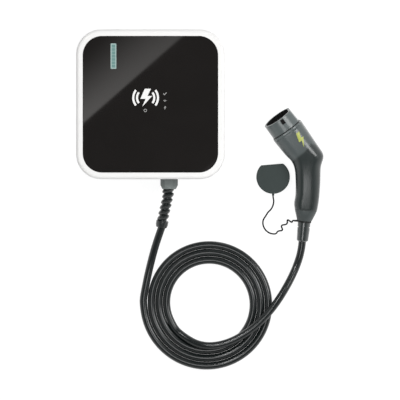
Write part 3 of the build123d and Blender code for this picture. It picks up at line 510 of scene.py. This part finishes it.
def new_curve(name, points, diameter, material):
    """A round cord along one smooth line through the route."""
    curve = bpy.data.curves.new(name, "CURVE")
    curve.dimensions = "3D"
    curve.bevel_depth = diameter / 2
    curve.bevel_resolution = 6
    curve.resolution_u = 10
    curve.use_fill_caps = True
    line = curve.splines.new("NURBS")
    line.points.add(len(points) - 1)
    for spot, place in zip(line.points, points):
        spot.co = (*place, 1.0)
    line.order_u = 3
    line.use_endpoint_u = True
    curve.materials.append(material)
    return linked(name, curve)


# Stage


def white_seen(tree):
    """Whether a ray comes from the camera, or from glossy or clear material."""
    rays = node(tree, "ShaderNodeLightPath").outputs
    either = combine(tree, rays["Is Camera Ray"], rays["Is Glossy Ray"], "MAXIMUM")
    return combine(tree, either, rays["Is Transmission Ray"], "MAXIMUM")


def floor_material():
    """The pale floor: it shows nearly white and keeps a faint shadow."""
    material = bpy.data.materials.new("studio_floor")
    tree = emptied(material)
    seen = white_seen(tree)
    albedo = blended(tree, seen, (0.8, 0.8, 0.8, 1.0), (0.2, 0.2, 0.2, 1.0))
    matte = node(tree, "ShaderNodeBsdfDiffuse", {"Color": albedo})
    glow = node(tree, "ShaderNodeEmission", {"Color": (1, 1, 1, 1),
                "Strength": combine(tree, seen, 0.9, "MULTIPLY")})
    both = node(tree, "ShaderNodeAddShader", {0: matte.outputs[0], 1: glow.outputs[0]})
    node(tree, "ShaderNodeOutputMaterial", {"Surface": both.outputs[0]})
    return material


def studio_world():
    """White round the horizon for camera and gloss, a dimmer ceiling, and plain ambient light."""
    world = bpy.data.worlds.new("studio")
    tree = emptied(world)
    ray = node(tree, "ShaderNodeTexCoord").outputs["Generated"]
    height = node(tree, "ShaderNodeSeparateXYZ", {0: ray}).outputs["Z"]
    low = ramp(tree, height, (0.3, 0.7), 1.0, 0.0)
    shown = blended(tree, low, (0.16, 0.16, 0.165, 1.0), (1.0, 1.0, 1.0, 1.0))
    ambient = ramp(tree, height, (0.0, 0.8), 0.10, 0.52)
    colour = blended(tree, white_seen(tree), ambient, shown)
    back = node(tree, "ShaderNodeBackground", {"Color": colour, "Strength": 1.0})
    node(tree, "ShaderNodeOutputWorld", {"Surface": back.outputs[0]})
    return world


def reflected_window():
    """The pale window that the glass mirrors: one straight slanting edge, fading away from it."""
    material = bpy.data.materials.new("window_light")
    tree = emptied(material)
    place = node(tree, "ShaderNodeTexCoord").outputs["Object"]
    parts = node(tree, "ShaderNodeSeparateXYZ", {0: place}).outputs
    along = ramp(tree, parts["Y"], (-0.02, 0.10), 1.0, 0.0, interpolation_type="SMOOTHSTEP")
    edge = ramp(tree, parts["Y"], (-0.0015, 0.0015), 0.0, 1.0)
    level = combine(tree, along, edge, "MULTIPLY")
    brighter = ramp(tree, parts["X"], (-0.16, 0.10), 2.1, 1.1)
    glow = node(tree, "ShaderNodeEmission", {"Color": (1.0, 0.98, 0.96, 1.0),
                "Strength": combine(tree, level, brighter, "MULTIPLY")})
    node(tree, "ShaderNodeOutputMaterial", {"Surface": glow.outputs[0]})
    return material


def area_lamp(name, place, target, size, power):
    """A round lamp that looks at its target."""
    light = bpy.data.lights.new(name, "AREA")
    light.shape = "DISK"
    light.size = size
    light.energy = power
    lamp = linked(name, light)
    lamp.location = place
    lamp.rotation_euler = (Vector(target) - Vector(place)).to_track_quat("-Z", "Y").to_euler()


def flat_card(name, half, material):
    """A square card that lies flat."""
    shape = bmesh.new()
    bmesh.ops.create_grid(shape, x_segments=1, y_segments=1, size=half)
    return new_object(name, shape, material)


class WALLBOX_OT_stage(bpy.types.Operator):
    """Makes the camera, the pale floor, the world and the lamps"""
    bl_idname = "wallbox.stage"
    bl_label = "Stage and camera"

    def execute(self, context):
        scene = context.scene
        scene.view_settings.view_transform = "Standard"
        camera = bpy.data.cameras.new("photo_camera")
        camera.lens = CAMERA_LENS
        camera.sensor_width = CAMERA_SENSOR
        camera.clip_end = 100.0
        view = linked("photo_camera", camera)
        view.location = (*CAMERA_SPOT, VIEW_HEIGHT + VIEW_WIDTH * CAMERA_LENS / CAMERA_SENSOR)
        scene.camera = view
        scene.world = studio_world()
        floor = flat_card("studio_floor", FLOOR_HALF, floor_material())
        window = flat_card("window_card", WINDOW_HALF, reflected_window())
        window.location = WINDOW_PLACE
        window.rotation_euler = (0, 0, math.radians(WINDOW_TURN))
        window.visible_camera = window.visible_diffuse = window.visible_shadow = False
        for lamp in LAMPS:
            area_lamp(*lamp)
        return {"FINISHED"}


# Lead and lanyard


def coil_points():
    """The control points of the coil; the smooth line runs a little inside them."""
    outward = 1.0 / (0.75 + 0.25 * math.cos(math.tau / COIL_STEPS))
    points = []
    for step in range(COIL_POINTS + 1):
        turns = step / COIL_STEPS
        angle = math.pi + math.tau * turns
        radius = (COIL_RADIUS - COIL_PITCH * turns) * outward
        points.append((COIL_CENTRE[0] + radius * math.cos(angle),
                       COIL_CENTRE[1] + radius * math.sin(angle), COIL_CENTRE[2]))
    return points


class WALLBOX_OT_charging_lead(bpy.types.Operator):
    """Lays the charging lead from the bend relief through its coil to the connector"""
    bl_idname = "wallbox.charging_lead"
    bl_label = "Charging lead"

    def execute(self, context):
        jacket = surface("cable_jacket", colours().cable, rough=0.34, bump=0.05, grain=0.0008,
                         specular=0.12, coat=0.8)
        points = [*LEAD_START, *coil_points(), *LEAD_END]
        lead = new_curve("charging_lead", points, sizes().cable_diameter, jacket)
        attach(lead, BODY)
        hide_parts("cable_lead", "cable_coil", "cable_tail")
        give(jacket, "cable_handle_end")
        return {"FINISHED"}


class WALLBOX_OT_lanyard(bpy.types.Operator):
    """Lays the dust cap's lanyard from its eyelet to the cap"""
    bl_idname = "wallbox.lanyard"
    bl_label = "Cap lanyard"

    def execute(self, context):
        rubber = surface("lanyard_rubber", colours().cable, rough=0.8, bump=0.1, grain=0.0004,
                         specular=0.1)
        cord = new_curve("cap_lanyard_cord", LANYARD, sizes().lanyard_diameter, rubber)
        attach(cord, BODY)
        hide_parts("cap_lanyard")
        return {"FINISHED"}


# Box


class WALLBOX_OT_case(bpy.types.Operator):
    """Gives the cover, the housing and the wall bracket their finishes"""
    bl_idname = "wallbox.case"
    bl_label = "Case"

    def execute(self, context):
        give(surface("white_case", colours().case, rough=0.42, bump=0.10, shift=0.012),
             "front_cover")
        give(surface("grey_case", colours().rear, rough=0.55, bump=0.25, shift=0.05),
             "rear_housing")
        give(surface("seal_rubber", (0.02, 0.02, 0.02), rough=0.7, bump=0.2, specular=0.3),
             "case_seal", "supply_grommet", "gland_seal")
        give(surface("screw_steel", (0.55, 0.55, 0.54), rough=0.35, bump=0.2, grain=0.0004,
                     metallic=1.0),
             "case_screws", "bracket_lock_screws", "board_screws", "display_screws", "nose_screws")
        give(surface("bracket_steel", (0.58, 0.59, 0.60), rough=0.42, bump=0.1, grain=0.003,
                     metallic=1.0), "wall_bracket")
        return {"FINISHED"}


def glass_material():
    """Polished black glass with faint smears in its gloss."""
    material, tree, shader = new_material("black_glass")
    place = node(tree, "ShaderNodeTexCoord").outputs["Object"]
    smear = node(tree, "ShaderNodeTexNoise", {"Vector": place, "Scale": 14.0, "Detail": 5.0,
                 "Distortion": 1.2}).outputs["Fac"]
    rough = ramp(tree, smear, (0.0, 1.0), 0.03, 0.07)
    base = blended(tree, smear, rgba(colours().glass, 0.9), rgba(colours().glass, 1.1))
    tree.links.new(base, shader.inputs["Base Color"])
    tree.links.new(rough, shader.inputs["Roughness"])
    return material


def raise_flat(shape, height):
    """Turns the flat faces of a mesh into thin solid prints."""
    top = bmesh.ops.extrude_face_region(shape, geom=list(shape.faces))["geom"]
    verts = [item for item in top if isinstance(item, bmesh.types.BMVert)]
    bmesh.ops.translate(shape, verts=verts, vec=(0, 0, height))


def polygon(shape, points, place=(0.0, 0.0), size=1.0):
    """Adds one flat face with these corners, about a place."""
    corners = [shape.verts.new((place[0] + x * size, place[1] + y * size, 0)) for x, y in points]
    shape.faces.new(corners)


def arc_band(shape, place, radius, width, start, sweep, steps):
    """Adds a flat band along part of a circle, or a whole ring."""
    before = set(shape.verts)
    start, sweep = math.radians(start), math.radians(sweep)
    side = Vector((math.cos(start), math.sin(start), 0))
    ends = [shape.verts.new(side * reach) for reach in (radius - width / 2, radius + width / 2)]
    edge = shape.edges.new(ends)
    bmesh.ops.spin(shape, geom=[*ends, edge], cent=(0, 0, 0), axis=(0, 0, 1), angle=sweep,
                   steps=steps, use_merge=sweep >= math.tau)
    bmesh.ops.translate(shape, verts=added(shape, before), vec=(*place, 0))


def print_on_glass(name, shape, material):
    """Makes a print that stands a hair over the glass."""
    raise_flat(shape, sizes().print_height + PRINT_DEPTH)
    bmesh.ops.translate(shape, verts=shape.verts, vec=(0, 0, GLASS_TOP - PRINT_DEPTH))
    new_piece(name, shape, material, "white_case")


class WALLBOX_OT_glass(bpy.types.Operator):
    """Finishes the black glass and prints its signs"""
    bl_idname = "wallbox.glass"
    bl_label = "Glass and signs"

    def execute(self, context):
        give(glass_material(), "front_glass")
        give(surface("bond_foam", (0.03, 0.03, 0.03), rough=0.8, bump=0.4, grain=0.001),
             "glass_bond")
        ink = surface("sign_ink", colours().sign, rough=0.5, bump=0.05, grain=0.0004, shift=0.02)
        sign = bmesh.new()
        polygon(sign, BOLT, MAIN_SIGN, BOLT_SIZE)
        for radius in ARC_RADII:
            for middle in ARC_MIDDLES:
                arc_band(sign, MAIN_SIGN, radius, ARC_WIDTH, middle - ARC_SWEEP / 2, ARC_SWEEP, 20)
        print_on_glass("main_sign", sign, ink)
        faint = surface("faint_ink", colours().small_sign, rough=0.5, bump=0.05, grain=0.0004,
                        shift=0.05)
        small = bmesh.new()
        arc_band(small, RING_SIGN, RING_RADIUS, SMALL_WIDTH, 0.0, 360.0, 24)
        polygon(small, TICK, SMALL_SIGNS[0], TICK_SIZE)
        x, y = SMALL_SIGNS[1]
        for radius in SMALL_ARC_RADII:
            arc_band(small, (x, y - SMALL_ARC_DROP), radius, SMALL_WIDTH, 45.0, 90.0, 10)
        polygon(small, BOLT, SMALL_SIGNS[2], SMALL_BOLT_SIZE)
        print_on_glass("small_signs", small, faint)
        return {"FINISHED"}


class WALLBOX_OT_light_bar(bpy.types.Operator):
    """Finishes the light bar with its lit segments"""
    bl_idname = "wallbox.light_bar"
    bl_label = "Light bar"

    def execute(self, context):
        give(surface("light_window", colours().bar_border, rough=0.4, bump=0.1, grain=0.0006,
                     shift=0.03), "light_bar")
        lit = surface("lit_segments", colours().bar, rough=0.35, bump=0.1, grain=0.0006,
                      shift=0.06)
        bar = bmesh.new()
        count = sizes().bar_segments
        pitch = BAR_LENGTH / count
        wide, high = SEGMENT_HALF, SEGMENT_FILL * pitch
        corners = ((-wide, -high), (wide, -high), (wide, high), (-wide, high))
        for row in range(count):
            y = LIGHT_BAR[1] + (row - (count - 1) / 2) * pitch
            polygon(bar, corners, (LIGHT_BAR[0], y))
        bmesh.ops.bevel(bar, geom=list(bar.verts), offset=SEGMENT_CORNER, segments=3, profile=0.5,
                        affect="VERTICES", material=-1)
        print_on_glass("lit_segments", bar, lit)
        return {"FINISHED"}


class WALLBOX_OT_inside(bpy.types.Operator):
    """Finishes the boards and the parts inside the box"""
    bl_idname = "wallbox.inside"
    bl_label = "Inner parts"

    def execute(self, context):
        give(surface("board_laminate", (0.03, 0.14, 0.07), rough=0.35, bump=0.15, grain=0.002),
             "main_board", "display_board")
        give(surface("relay_plastic", (0.03, 0.03, 0.032), rough=0.5, bump=0.3),
             "power_relays", "power_supply_module", "fault_current_sensor")
        give(surface("terminal_plastic", (0.30, 0.35, 0.33), rough=0.5, bump=0.3),
             "supply_terminal", "output_terminal")
        give(surface("module_shield", (0.65, 0.65, 0.64), rough=0.3, bump=0.1, grain=0.001,
                     metallic=1.0), "radio_module")
        give(surface("led_resin", (0.8, 0.75, 0.5), rough=0.2, bump=0.1, grain=0.0005),
             "status_leds")
        give(surface("antenna_copper", (0.72, 0.40, 0.22), rough=0.35, bump=0.2, grain=0.0008,
                     metallic=1.0), "card_antenna")
        give(surface("core_insulation", (0.20, 0.15, 0.12), rough=0.45, bump=0.2),
             "output_cores", "handle_cores")
        return {"FINISHED"}


# Gland and bend relief


def spun(shape, profile, middle, facing):
    """Adds a round form from its profile of radius and height, set across a direction."""
    before = set(shape.verts)
    spots = [shape.verts.new((radius, 0, height)) for radius, height in profile]
    sides = [shape.edges.new(pair) for pair in zip(spots, spots[1:])]
    bmesh.ops.spin(shape, geom=[*spots, *sides], cent=(0, 0, 0), axis=(0, 0, 1), angle=math.tau,
                   steps=40, use_merge=True)
    place = Vector(facing).to_track_quat("Z", "Y").to_matrix().to_4x4()
    bmesh.ops.transform(shape, verts=added(shape, before),
                        matrix=Matrix.Translation(middle) @ place)


def rod(shape, radius, start, end):
    """Adds a straight round rod between two points."""
    run = Vector(end) - Vector(start)
    spun(shape, ((OFF_AXIS, 0.0), (radius, 0.0), (radius, run.length), (OFF_AXIS, run.length)),
         start, run)


def relief_shape():
    """The bend relief: slanted lens-shaped ribs on a slim core, and the cuff at its end."""
    shape = bmesh.new()
    for middle in RIBS:
        spun(shape, RIB_PROFILE, middle, RIB_FACING)
    for start, end in zip(RIBS, (*RIBS[1:], CUFF[0])):
        rod(shape, CORE_RADIUS, start, end)
    run = Vector(CUFF[1]) - Vector(CUFF[0])
    mouth = ((CUFF_MOUTH, run.length), (CUFF_BORE, run.length + 0.0003), (CUFF_BORE, CUFF_FLOOR),
             (OFF_AXIS, CUFF_FLOOR))
    spun(shape, (*CUFF_PROFILE, *mouth), CUFF[0], run)
    bmesh.ops.remove_doubles(shape, verts=shape.verts, dist=1e-6)
    return shape


def gland_cable():
    """The cable's end inside the relief and the gland."""
    shape = bmesh.new()
    for start, end in zip((GLAND_INSIDE, *RIBS), (*RIBS, CUFF[0])):
        rod(shape, INNER_RADIUS, start, end)
    bmesh.ops.remove_doubles(shape, verts=shape.verts, dist=1e-6)
    return shape


class WALLBOX_OT_gland(bpy.types.Operator):
    """Finishes the cable gland and the ribbed bend relief"""
    bl_idname = "wallbox.gland"
    bl_label = "Gland and bend relief"

    def execute(self, context):
        give(surface("gland_plastic", colours().gland, rough=0.55, bump=0.1, specular=0.25),
             "gland_body", "gland_locknut", "gland_cap", "tail_clamp")
        rubber = surface("relief_rubber", colours().cable, rough=0.36, bump=0.06, coat=0.7)
        new_piece("ribbed_relief", relief_shape(), rubber, "cable_jacket", "bend_relief",
                  smooth_below=SMOOTH_ROUND)
        new_piece("cable_in_gland", gland_cable(), rubber, "cable_jacket", "cable_gland_end",
                  smooth_below=SMOOTH_ROUND)
        return {"FINISHED"}


# Connector


def placed(turn, x, y):
    """The plane across the connector at a section: x over its width, z towards the mouth."""
    lying = Matrix.Translation(ELBOW) @ Matrix.Rotation(math.radians(TILT), 4, "X")
    across = Matrix.Rotation(math.radians(turn), 4, "Z") @ Matrix.Rotation(-math.pi / 2, 4, "X")
    return lying @ Matrix.Translation((x, y, 0)) @ across


def at_collar():
    """The plane of the collar, where the nose starts."""
    lean = math.radians(BODY_LEAN)
    return placed(BODY_LEAN, -COLLAR_ALONG * math.sin(lean), COLLAR_ALONG * math.cos(lean))


def lofted(sections, capped=False):
    """Joins rounded sections of the connector into one skin."""
    shape = bmesh.new()
    loops = []
    for turn, x, y, width, thick, corner in sections:
        before = set(shape.verts)
        made = bmesh.ops.create_grid(shape, x_segments=1, y_segments=1, size=0.0005)["verts"]
        bmesh.ops.scale(shape, verts=made, vec=(width, thick, 1))
        bmesh.ops.bevel(shape, geom=made, offset=corner / 1000, segments=8, profile=0.5,
                        affect="VERTICES", material=-1)
        ring = added(shape, before)
        bmesh.ops.transform(shape, verts=ring, matrix=placed(turn, x / 1000, y / 1000))
        face = ring[0].link_faces[0]
        loops.append(list(face.edges))
        if not capped or 1 < len(loops) < len(sections):
            bmesh.ops.delete(shape, geom=[face], context="FACES_ONLY")
    for first, second in zip(loops, loops[1:]):
        bmesh.ops.bridge_loops(shape, edges=[*first, *second])
    return shape


def d_plate(radius, flat, corner):
    """A flat plate with the nose's outline: a circle with one flat and rounded corners."""
    shape = bmesh.new()
    bmesh.ops.create_circle(shape, cap_ends=True, radius=radius, segments=80,
                            matrix=Matrix.Rotation(math.radians(1.7), 4, "Z"))
    bmesh.ops.bisect_plane(shape, geom=[*shape.verts, *shape.edges, *shape.faces],
                           plane_co=(flat, 0, 0), plane_no=(1, 0, 0), clear_outer=True)
    corners = [spot for spot in shape.verts if abs(spot.co.x - flat) < 1e-6]
    bmesh.ops.bevel(shape, geom=corners, offset=corner, segments=5, profile=0.5,
                    affect="VERTICES", material=-1)
    return shape


def sink(shape, faces, depth):
    """Sinks faces straight in along an offset, with walls round them."""
    bmesh.ops.inset_region(shape, faces=faces, thickness=1e-5, use_even_offset=True)
    verts = list({spot for face in faces for spot in face.verts})
    bmesh.ops.translate(shape, verts=verts, vec=depth)
    return verts


def draft(shape):
    """Moves the flat side of the nose out towards the collar."""
    for spot in shape.verts:
        near = min(1.0, max(0.0, 1 - spot.co.z / NOSE_TOP))
        if spot.co.x > 0:
            spot.co.x *= 1 + NOSE_DRAFT * near


def sink_mouth(shape):
    """Cuts the nose's end at a slant and sinks its opening."""
    slant = math.radians(MOUTH_SLANT)
    cut = bmesh.ops.bisect_plane(
        shape, geom=[*shape.verts, *shape.edges, *shape.faces], plane_co=(0, NOSE_R, NOSE_TOP),
        plane_no=(0, -math.sin(slant), math.cos(slant)), clear_outer=True)["geom_cut"]
    rim = [item for item in cut if isinstance(item, bmesh.types.BMEdge)]
    mouth = bmesh.ops.edgeloop_fill(shape, edges=rim)["faces"]
    bmesh.ops.recalc_face_normals(shape, faces=shape.faces)
    bmesh.ops.inset_region(shape, faces=mouth, thickness=NOSE_WALL, use_even_offset=True)
    floor = sink(shape, mouth, (0, 0, -0.01))
    bmesh.ops.scale(shape, verts=floor, vec=(1, 1, 0),
                    space=Matrix.Translation((0, 0, -SOCKET_FLOOR)))


def sink_slots(shape):
    """Sinks the lock's slots into the two round sides of the nose, and gives their sunk faces the
    second material, near-black painted shade.
    """
    for height in (SLOT_FROM, SLOT_TO):
        walls = [face for face in shape.faces
                 if abs(face.normal.z) < 0.5 and face.calc_center_median().length > 0.02
                 and abs(face.calc_center_median().y) > NOSE_R * 0.9]
        around = {item for face in walls for item in (*face.edges, *face.verts)}
        bmesh.ops.bisect_plane(shape, geom=[*walls, *around], plane_co=(0, 0, height),
                               plane_no=(0, 0, 1))
    for side in (-1, 1):
        slot = [face for face in shape.faces
                if SLOT_FROM < face.calc_center_median().z < SLOT_TO
                and abs(face.calc_center_median().x - SLOT_SIDE) < SLOT_HALF
                and face.calc_center_median().y * side > NOSE_R * 0.9]
        sink(shape, slot, (0, -side * SLOT_DEPTH, 0))
        # The slot's sunk faces take the nose's second material: near-black painted shade
        for face in slot:
            face.material_index = 1


def nose_shape():
    """The shroud with its slanted mouth, its deep opening and the two slots of the lock, their
    insides near-black painted shade.
    """
    shape = d_plate(NOSE_R, NOSE_FLAT, NOSE_CORNER)
    raise_flat(shape, NOSE_TOP)
    sink_mouth(shape)
    sink_slots(shape)
    # The opening's inner walls and floor take the second material too: near-black painted shade
    for face in shape.faces:
        spot = face.calc_center_median()
        if (spot.z > SOCKET_FLOOR - 0.001 and spot.x < NOSE_FLAT - 0.9 * NOSE_WALL
                and math.hypot(spot.x, spot.y) < NOSE_R - 0.9 * NOSE_WALL):
            face.material_index = 1
    draft(shape)
    bmesh.ops.transform(shape, verts=shape.verts, matrix=at_collar())
    return shape


def nose_seal():
    """The thin dark seal between the nose and the collar."""
    shape = d_plate(NOSE_R + SEAL_LIP, NOSE_FLAT + SEAL_LIP, SEAL_CORNER)
    raise_flat(shape, SEAL_THICK)
    draft(shape)
    bmesh.ops.transform(shape, verts=shape.verts,
                        matrix=at_collar() @ Matrix.Translation((0, 0, SEAL_FROM)))
    return shape


def tube(shape, place, radii, heights):
    """Adds a short tube on a plane across the connector."""
    (inner, outer), (low, high) = radii, heights
    spots = [shape.verts.new((place[0] + reach, place[1], height))
             for reach, height in ((inner, low), (outer, low), (outer, high), (inner, high))]
    sides = [shape.edges.new((spots[index - 1], spots[index])) for index in range(4)]
    bmesh.ops.spin(shape, geom=[*spots, *sides], cent=(*place, 0), axis=(0, 0, 1),
                   angle=math.tau, steps=24, use_merge=True)


def at_sockets(shape, radii, ends):
    """Adds a tube at each of the seven sockets and sets the whole at the collar."""
    for up, side, bore in CONTACTS:
        tube(shape, (up, side), [bore + reach for reach in radii],
             [SOCKET_FACE + end for end in ends])
    bmesh.ops.transform(shape, verts=shape.verts, matrix=at_collar())
    return shape


def contact_block():
    """The dark block in the mouth with a rim round each of its seven sockets."""
    inset = NOSE_WALL + BLOCK_ROOM
    shape = d_plate(NOSE_R - inset, NOSE_FLAT - inset, BLOCK_CORNER)
    raise_flat(shape, SOCKET_FACE - SOCKET_FLOOR)
    bmesh.ops.translate(shape, verts=shape.verts, vec=(0, 0, SOCKET_FLOOR))
    return at_sockets(shape, RIM_RADII, RIM_ENDS)


def contact_rings():
    """The ends of the seven silvered sleeves in their sockets."""
    return at_sockets(bmesh.new(), SLEEVE_RADII, SLEEVE_ENDS)


def lanyard_ring():
    """The lanyard's ring round the boot, and the lug on it that the lanyard starts from."""
    shape = bmesh.new()
    tube(shape, (0.0, 0.0), RING_RADII, RING_FACES)
    turned = placed(*RING_SECTION) @ Matrix.Rotation(math.pi, 4, "X")
    bmesh.ops.transform(shape, verts=shape.verts, matrix=turned)
    lug = bmesh.ops.create_cone(shape, cap_ends=True, segments=20, radius1=LUG_RADII[0],
                                radius2=LUG_RADII[1], depth=LUG_LENGTH)["verts"]
    along = Matrix.Translation(LUG) @ Matrix.Rotation(-math.pi / 2, 4, "Y")
    bmesh.ops.transform(shape, verts=lug, matrix=along)
    return shape


def lay_on(shape, below, shift):
    """Lets a flat print down onto the top of a finished piece."""
    solid = below.evaluated_get(bpy.context.evaluated_depsgraph_get()).to_mesh()
    under = bmesh.new()
    under.from_mesh(solid)
    tree = BVHTree.FromBMesh(under)
    under.free()
    for spot in shape.verts:
        place = tree.ray_cast(Vector((spot.co.x, spot.co.y, 1.0)), Vector((0, 0, -1)))[0]
        spot.co.z += place.z + shift


def connector_sign(handle):
    """The bolt on the connector, laid on the finished handle."""
    shape = bmesh.new()
    wide, high = CONNECTOR_BOLT
    corners = [shape.verts.new((x * wide, y * high, 0)) for x, y in BOLT]
    for face in BOLT_FACES:
        shape.faces.new([corners[index] for index in face])
    bmesh.ops.subdivide_edges(shape, edges=list(shape.edges), cuts=6, use_grid_fill=True)
    turn = Matrix.Rotation(math.radians(BODY_LEAN), 3, "Z")
    bmesh.ops.rotate(shape, verts=shape.verts, matrix=turn)
    bmesh.ops.translate(shape, verts=shape.verts, vec=(*CONNECTOR_SIGN, 0))
    raise_flat(shape, sizes().print_height + PRINT_DEPTH)
    lay_on(shape, handle, -PRINT_DEPTH)
    return shape


class WALLBOX_OT_connector(bpy.types.Operator):
    """Finishes the vehicle connector on the lead's far end"""
    bl_idname = "wallbox.connector"
    bl_label = "Vehicle connector"

    def execute(self, context):
        slot = "handle_plastic"
        handle = new_piece("handle", lofted(HANDLE_SECTIONS), handle_finish(), slot,
                           "handle_shell", smooth_below=SMOOTH_ROUND)
        smooth = handle.modifiers.new("smooth", "SUBSURF")
        smooth.levels = smooth.render_levels = 2
        handle.modifiers.new("wall", "SOLIDIFY").thickness = HANDLE_WALL
        # The nose and its collar take the connector colour made 1.2 times brighter: painted light
        # on the nose
        plastic = surface("nose_plastic_painted_lighter", rgba(colours().connector, 1.2), rough=0.38, bump=0.05,
                          coat=0.4)
        new_piece("nose_collar", lofted(COLLAR_SECTIONS, capped=True), plastic, slot)
        nose = new_piece("nose", nose_shape(), plastic, slot, "connector_nose")
        # The nose's second material: near-black painted shade inside the slots and the opening
        nose.data.materials.append(
            surface("painted_shade_in_recesses", (0.002, 0.002, 0.002), rough=0.9, bump=0.1))
        dark = surface("contact_plastic", (0.008, 0.009, 0.009), rough=0.5, bump=0.3,
                       specular=0.3)
        new_piece("contact_block", contact_block(), dark, slot, "contact_carrier")
        silver = surface("silver_contact", (0.75, 0.75, 0.72), rough=0.25, bump=0.1,
                         grain=0.0006, metallic=1.0)
        new_piece("contact_rings", contact_rings(), silver, slot, *CONTACT_NODES)
        nut_plastic = surface("nut_plastic", rgba(colours().connector, 0.7), rough=0.42,
                              bump=0.15)
        nut = new_piece("grip_nut", lofted(NUT_SECTIONS, capped=True), nut_plastic, slot,
                        "tail_nut", smooth_below=SMOOTH_ROUND)
        new_piece("nose_seal_ring", nose_seal(), dark, slot, "nose_seal")
        ring = new_piece("lanyard_ring", lanyard_ring(), dark, slot, "lanyard_eyelet",
                         smooth_below=SMOOTH_ROUND)
        give(surface("boot_rubber", colours().grip, rough=0.3, bump=0.08, specular=0.6, coat=1.0),
             "tail_boot")
        paint = surface("mark_paint", colours().mark, rough=0.4, bump=0.15, grain=0.0005)
        new_piece("connector_sign", connector_sign(handle), paint, "cap_rubber")
        return {"FINISHED"}


# Dust cap


class WALLBOX_OT_dust_cap(bpy.types.Operator):
    """Finishes the dust cap"""
    bl_idname = "wallbox.dust_cap"
    bl_label = "Dust cap"

    def execute(self, context):
        give(surface("cap_rubber", colours().cap, rough=0.6, bump=0.3, specular=0.25), "dust_cap")
        return {"FINISHED"}


# Add-on


class WALLBOX_PT_panel(bpy.types.Panel):
    """The wall charging box's pieces, in building order"""
    bl_idname = "WALLBOX_PT_panel"
    bl_label = "Wall charging box"
    bl_space_type = "VIEW_3D"
    bl_region_type = "UI"
    bl_category = "Wallbox"

    def draw(self, context):
        for operator in OPERATORS:
            self.layout.operator(operator.bl_idname)
        for group in (context.scene.wallbox_sizes, context.scene.wallbox_colours):
            for name in group.__annotations__:
                self.layout.prop(group, name)


OPERATORS = (
    WALLBOX_OT_stage, WALLBOX_OT_charging_lead, WALLBOX_OT_lanyard, WALLBOX_OT_case,
    WALLBOX_OT_glass, WALLBOX_OT_light_bar, WALLBOX_OT_inside, WALLBOX_OT_gland,
    WALLBOX_OT_connector, WALLBOX_OT_dust_cap,
)
CLASSES = (WallboxSizes, WallboxColours, *OPERATORS, WALLBOX_PT_panel)


def register():
    """Adds the add-on's classes and its groups of values."""
    for one in CLASSES:
        bpy.utils.register_class(one)
    bpy.types.Scene.wallbox_sizes = PointerProperty(type=WallboxSizes)
    bpy.types.Scene.wallbox_colours = PointerProperty(type=WallboxColours)


def unregister():
    """Takes the add-on's classes and its groups of values away."""
    del bpy.types.Scene.wallbox_colours
    del bpy.types.Scene.wallbox_sizes
    for one in reversed(CLASSES):
        bpy.utils.unregister_class(one)


def main():
    """Builds every piece."""
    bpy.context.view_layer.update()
    register()
    for operator in OPERATORS:
        group, name = operator.bl_idname.split(".")
        getattr(getattr(bpy.ops, group), name)()


if __name__ == "__main__":
    main()
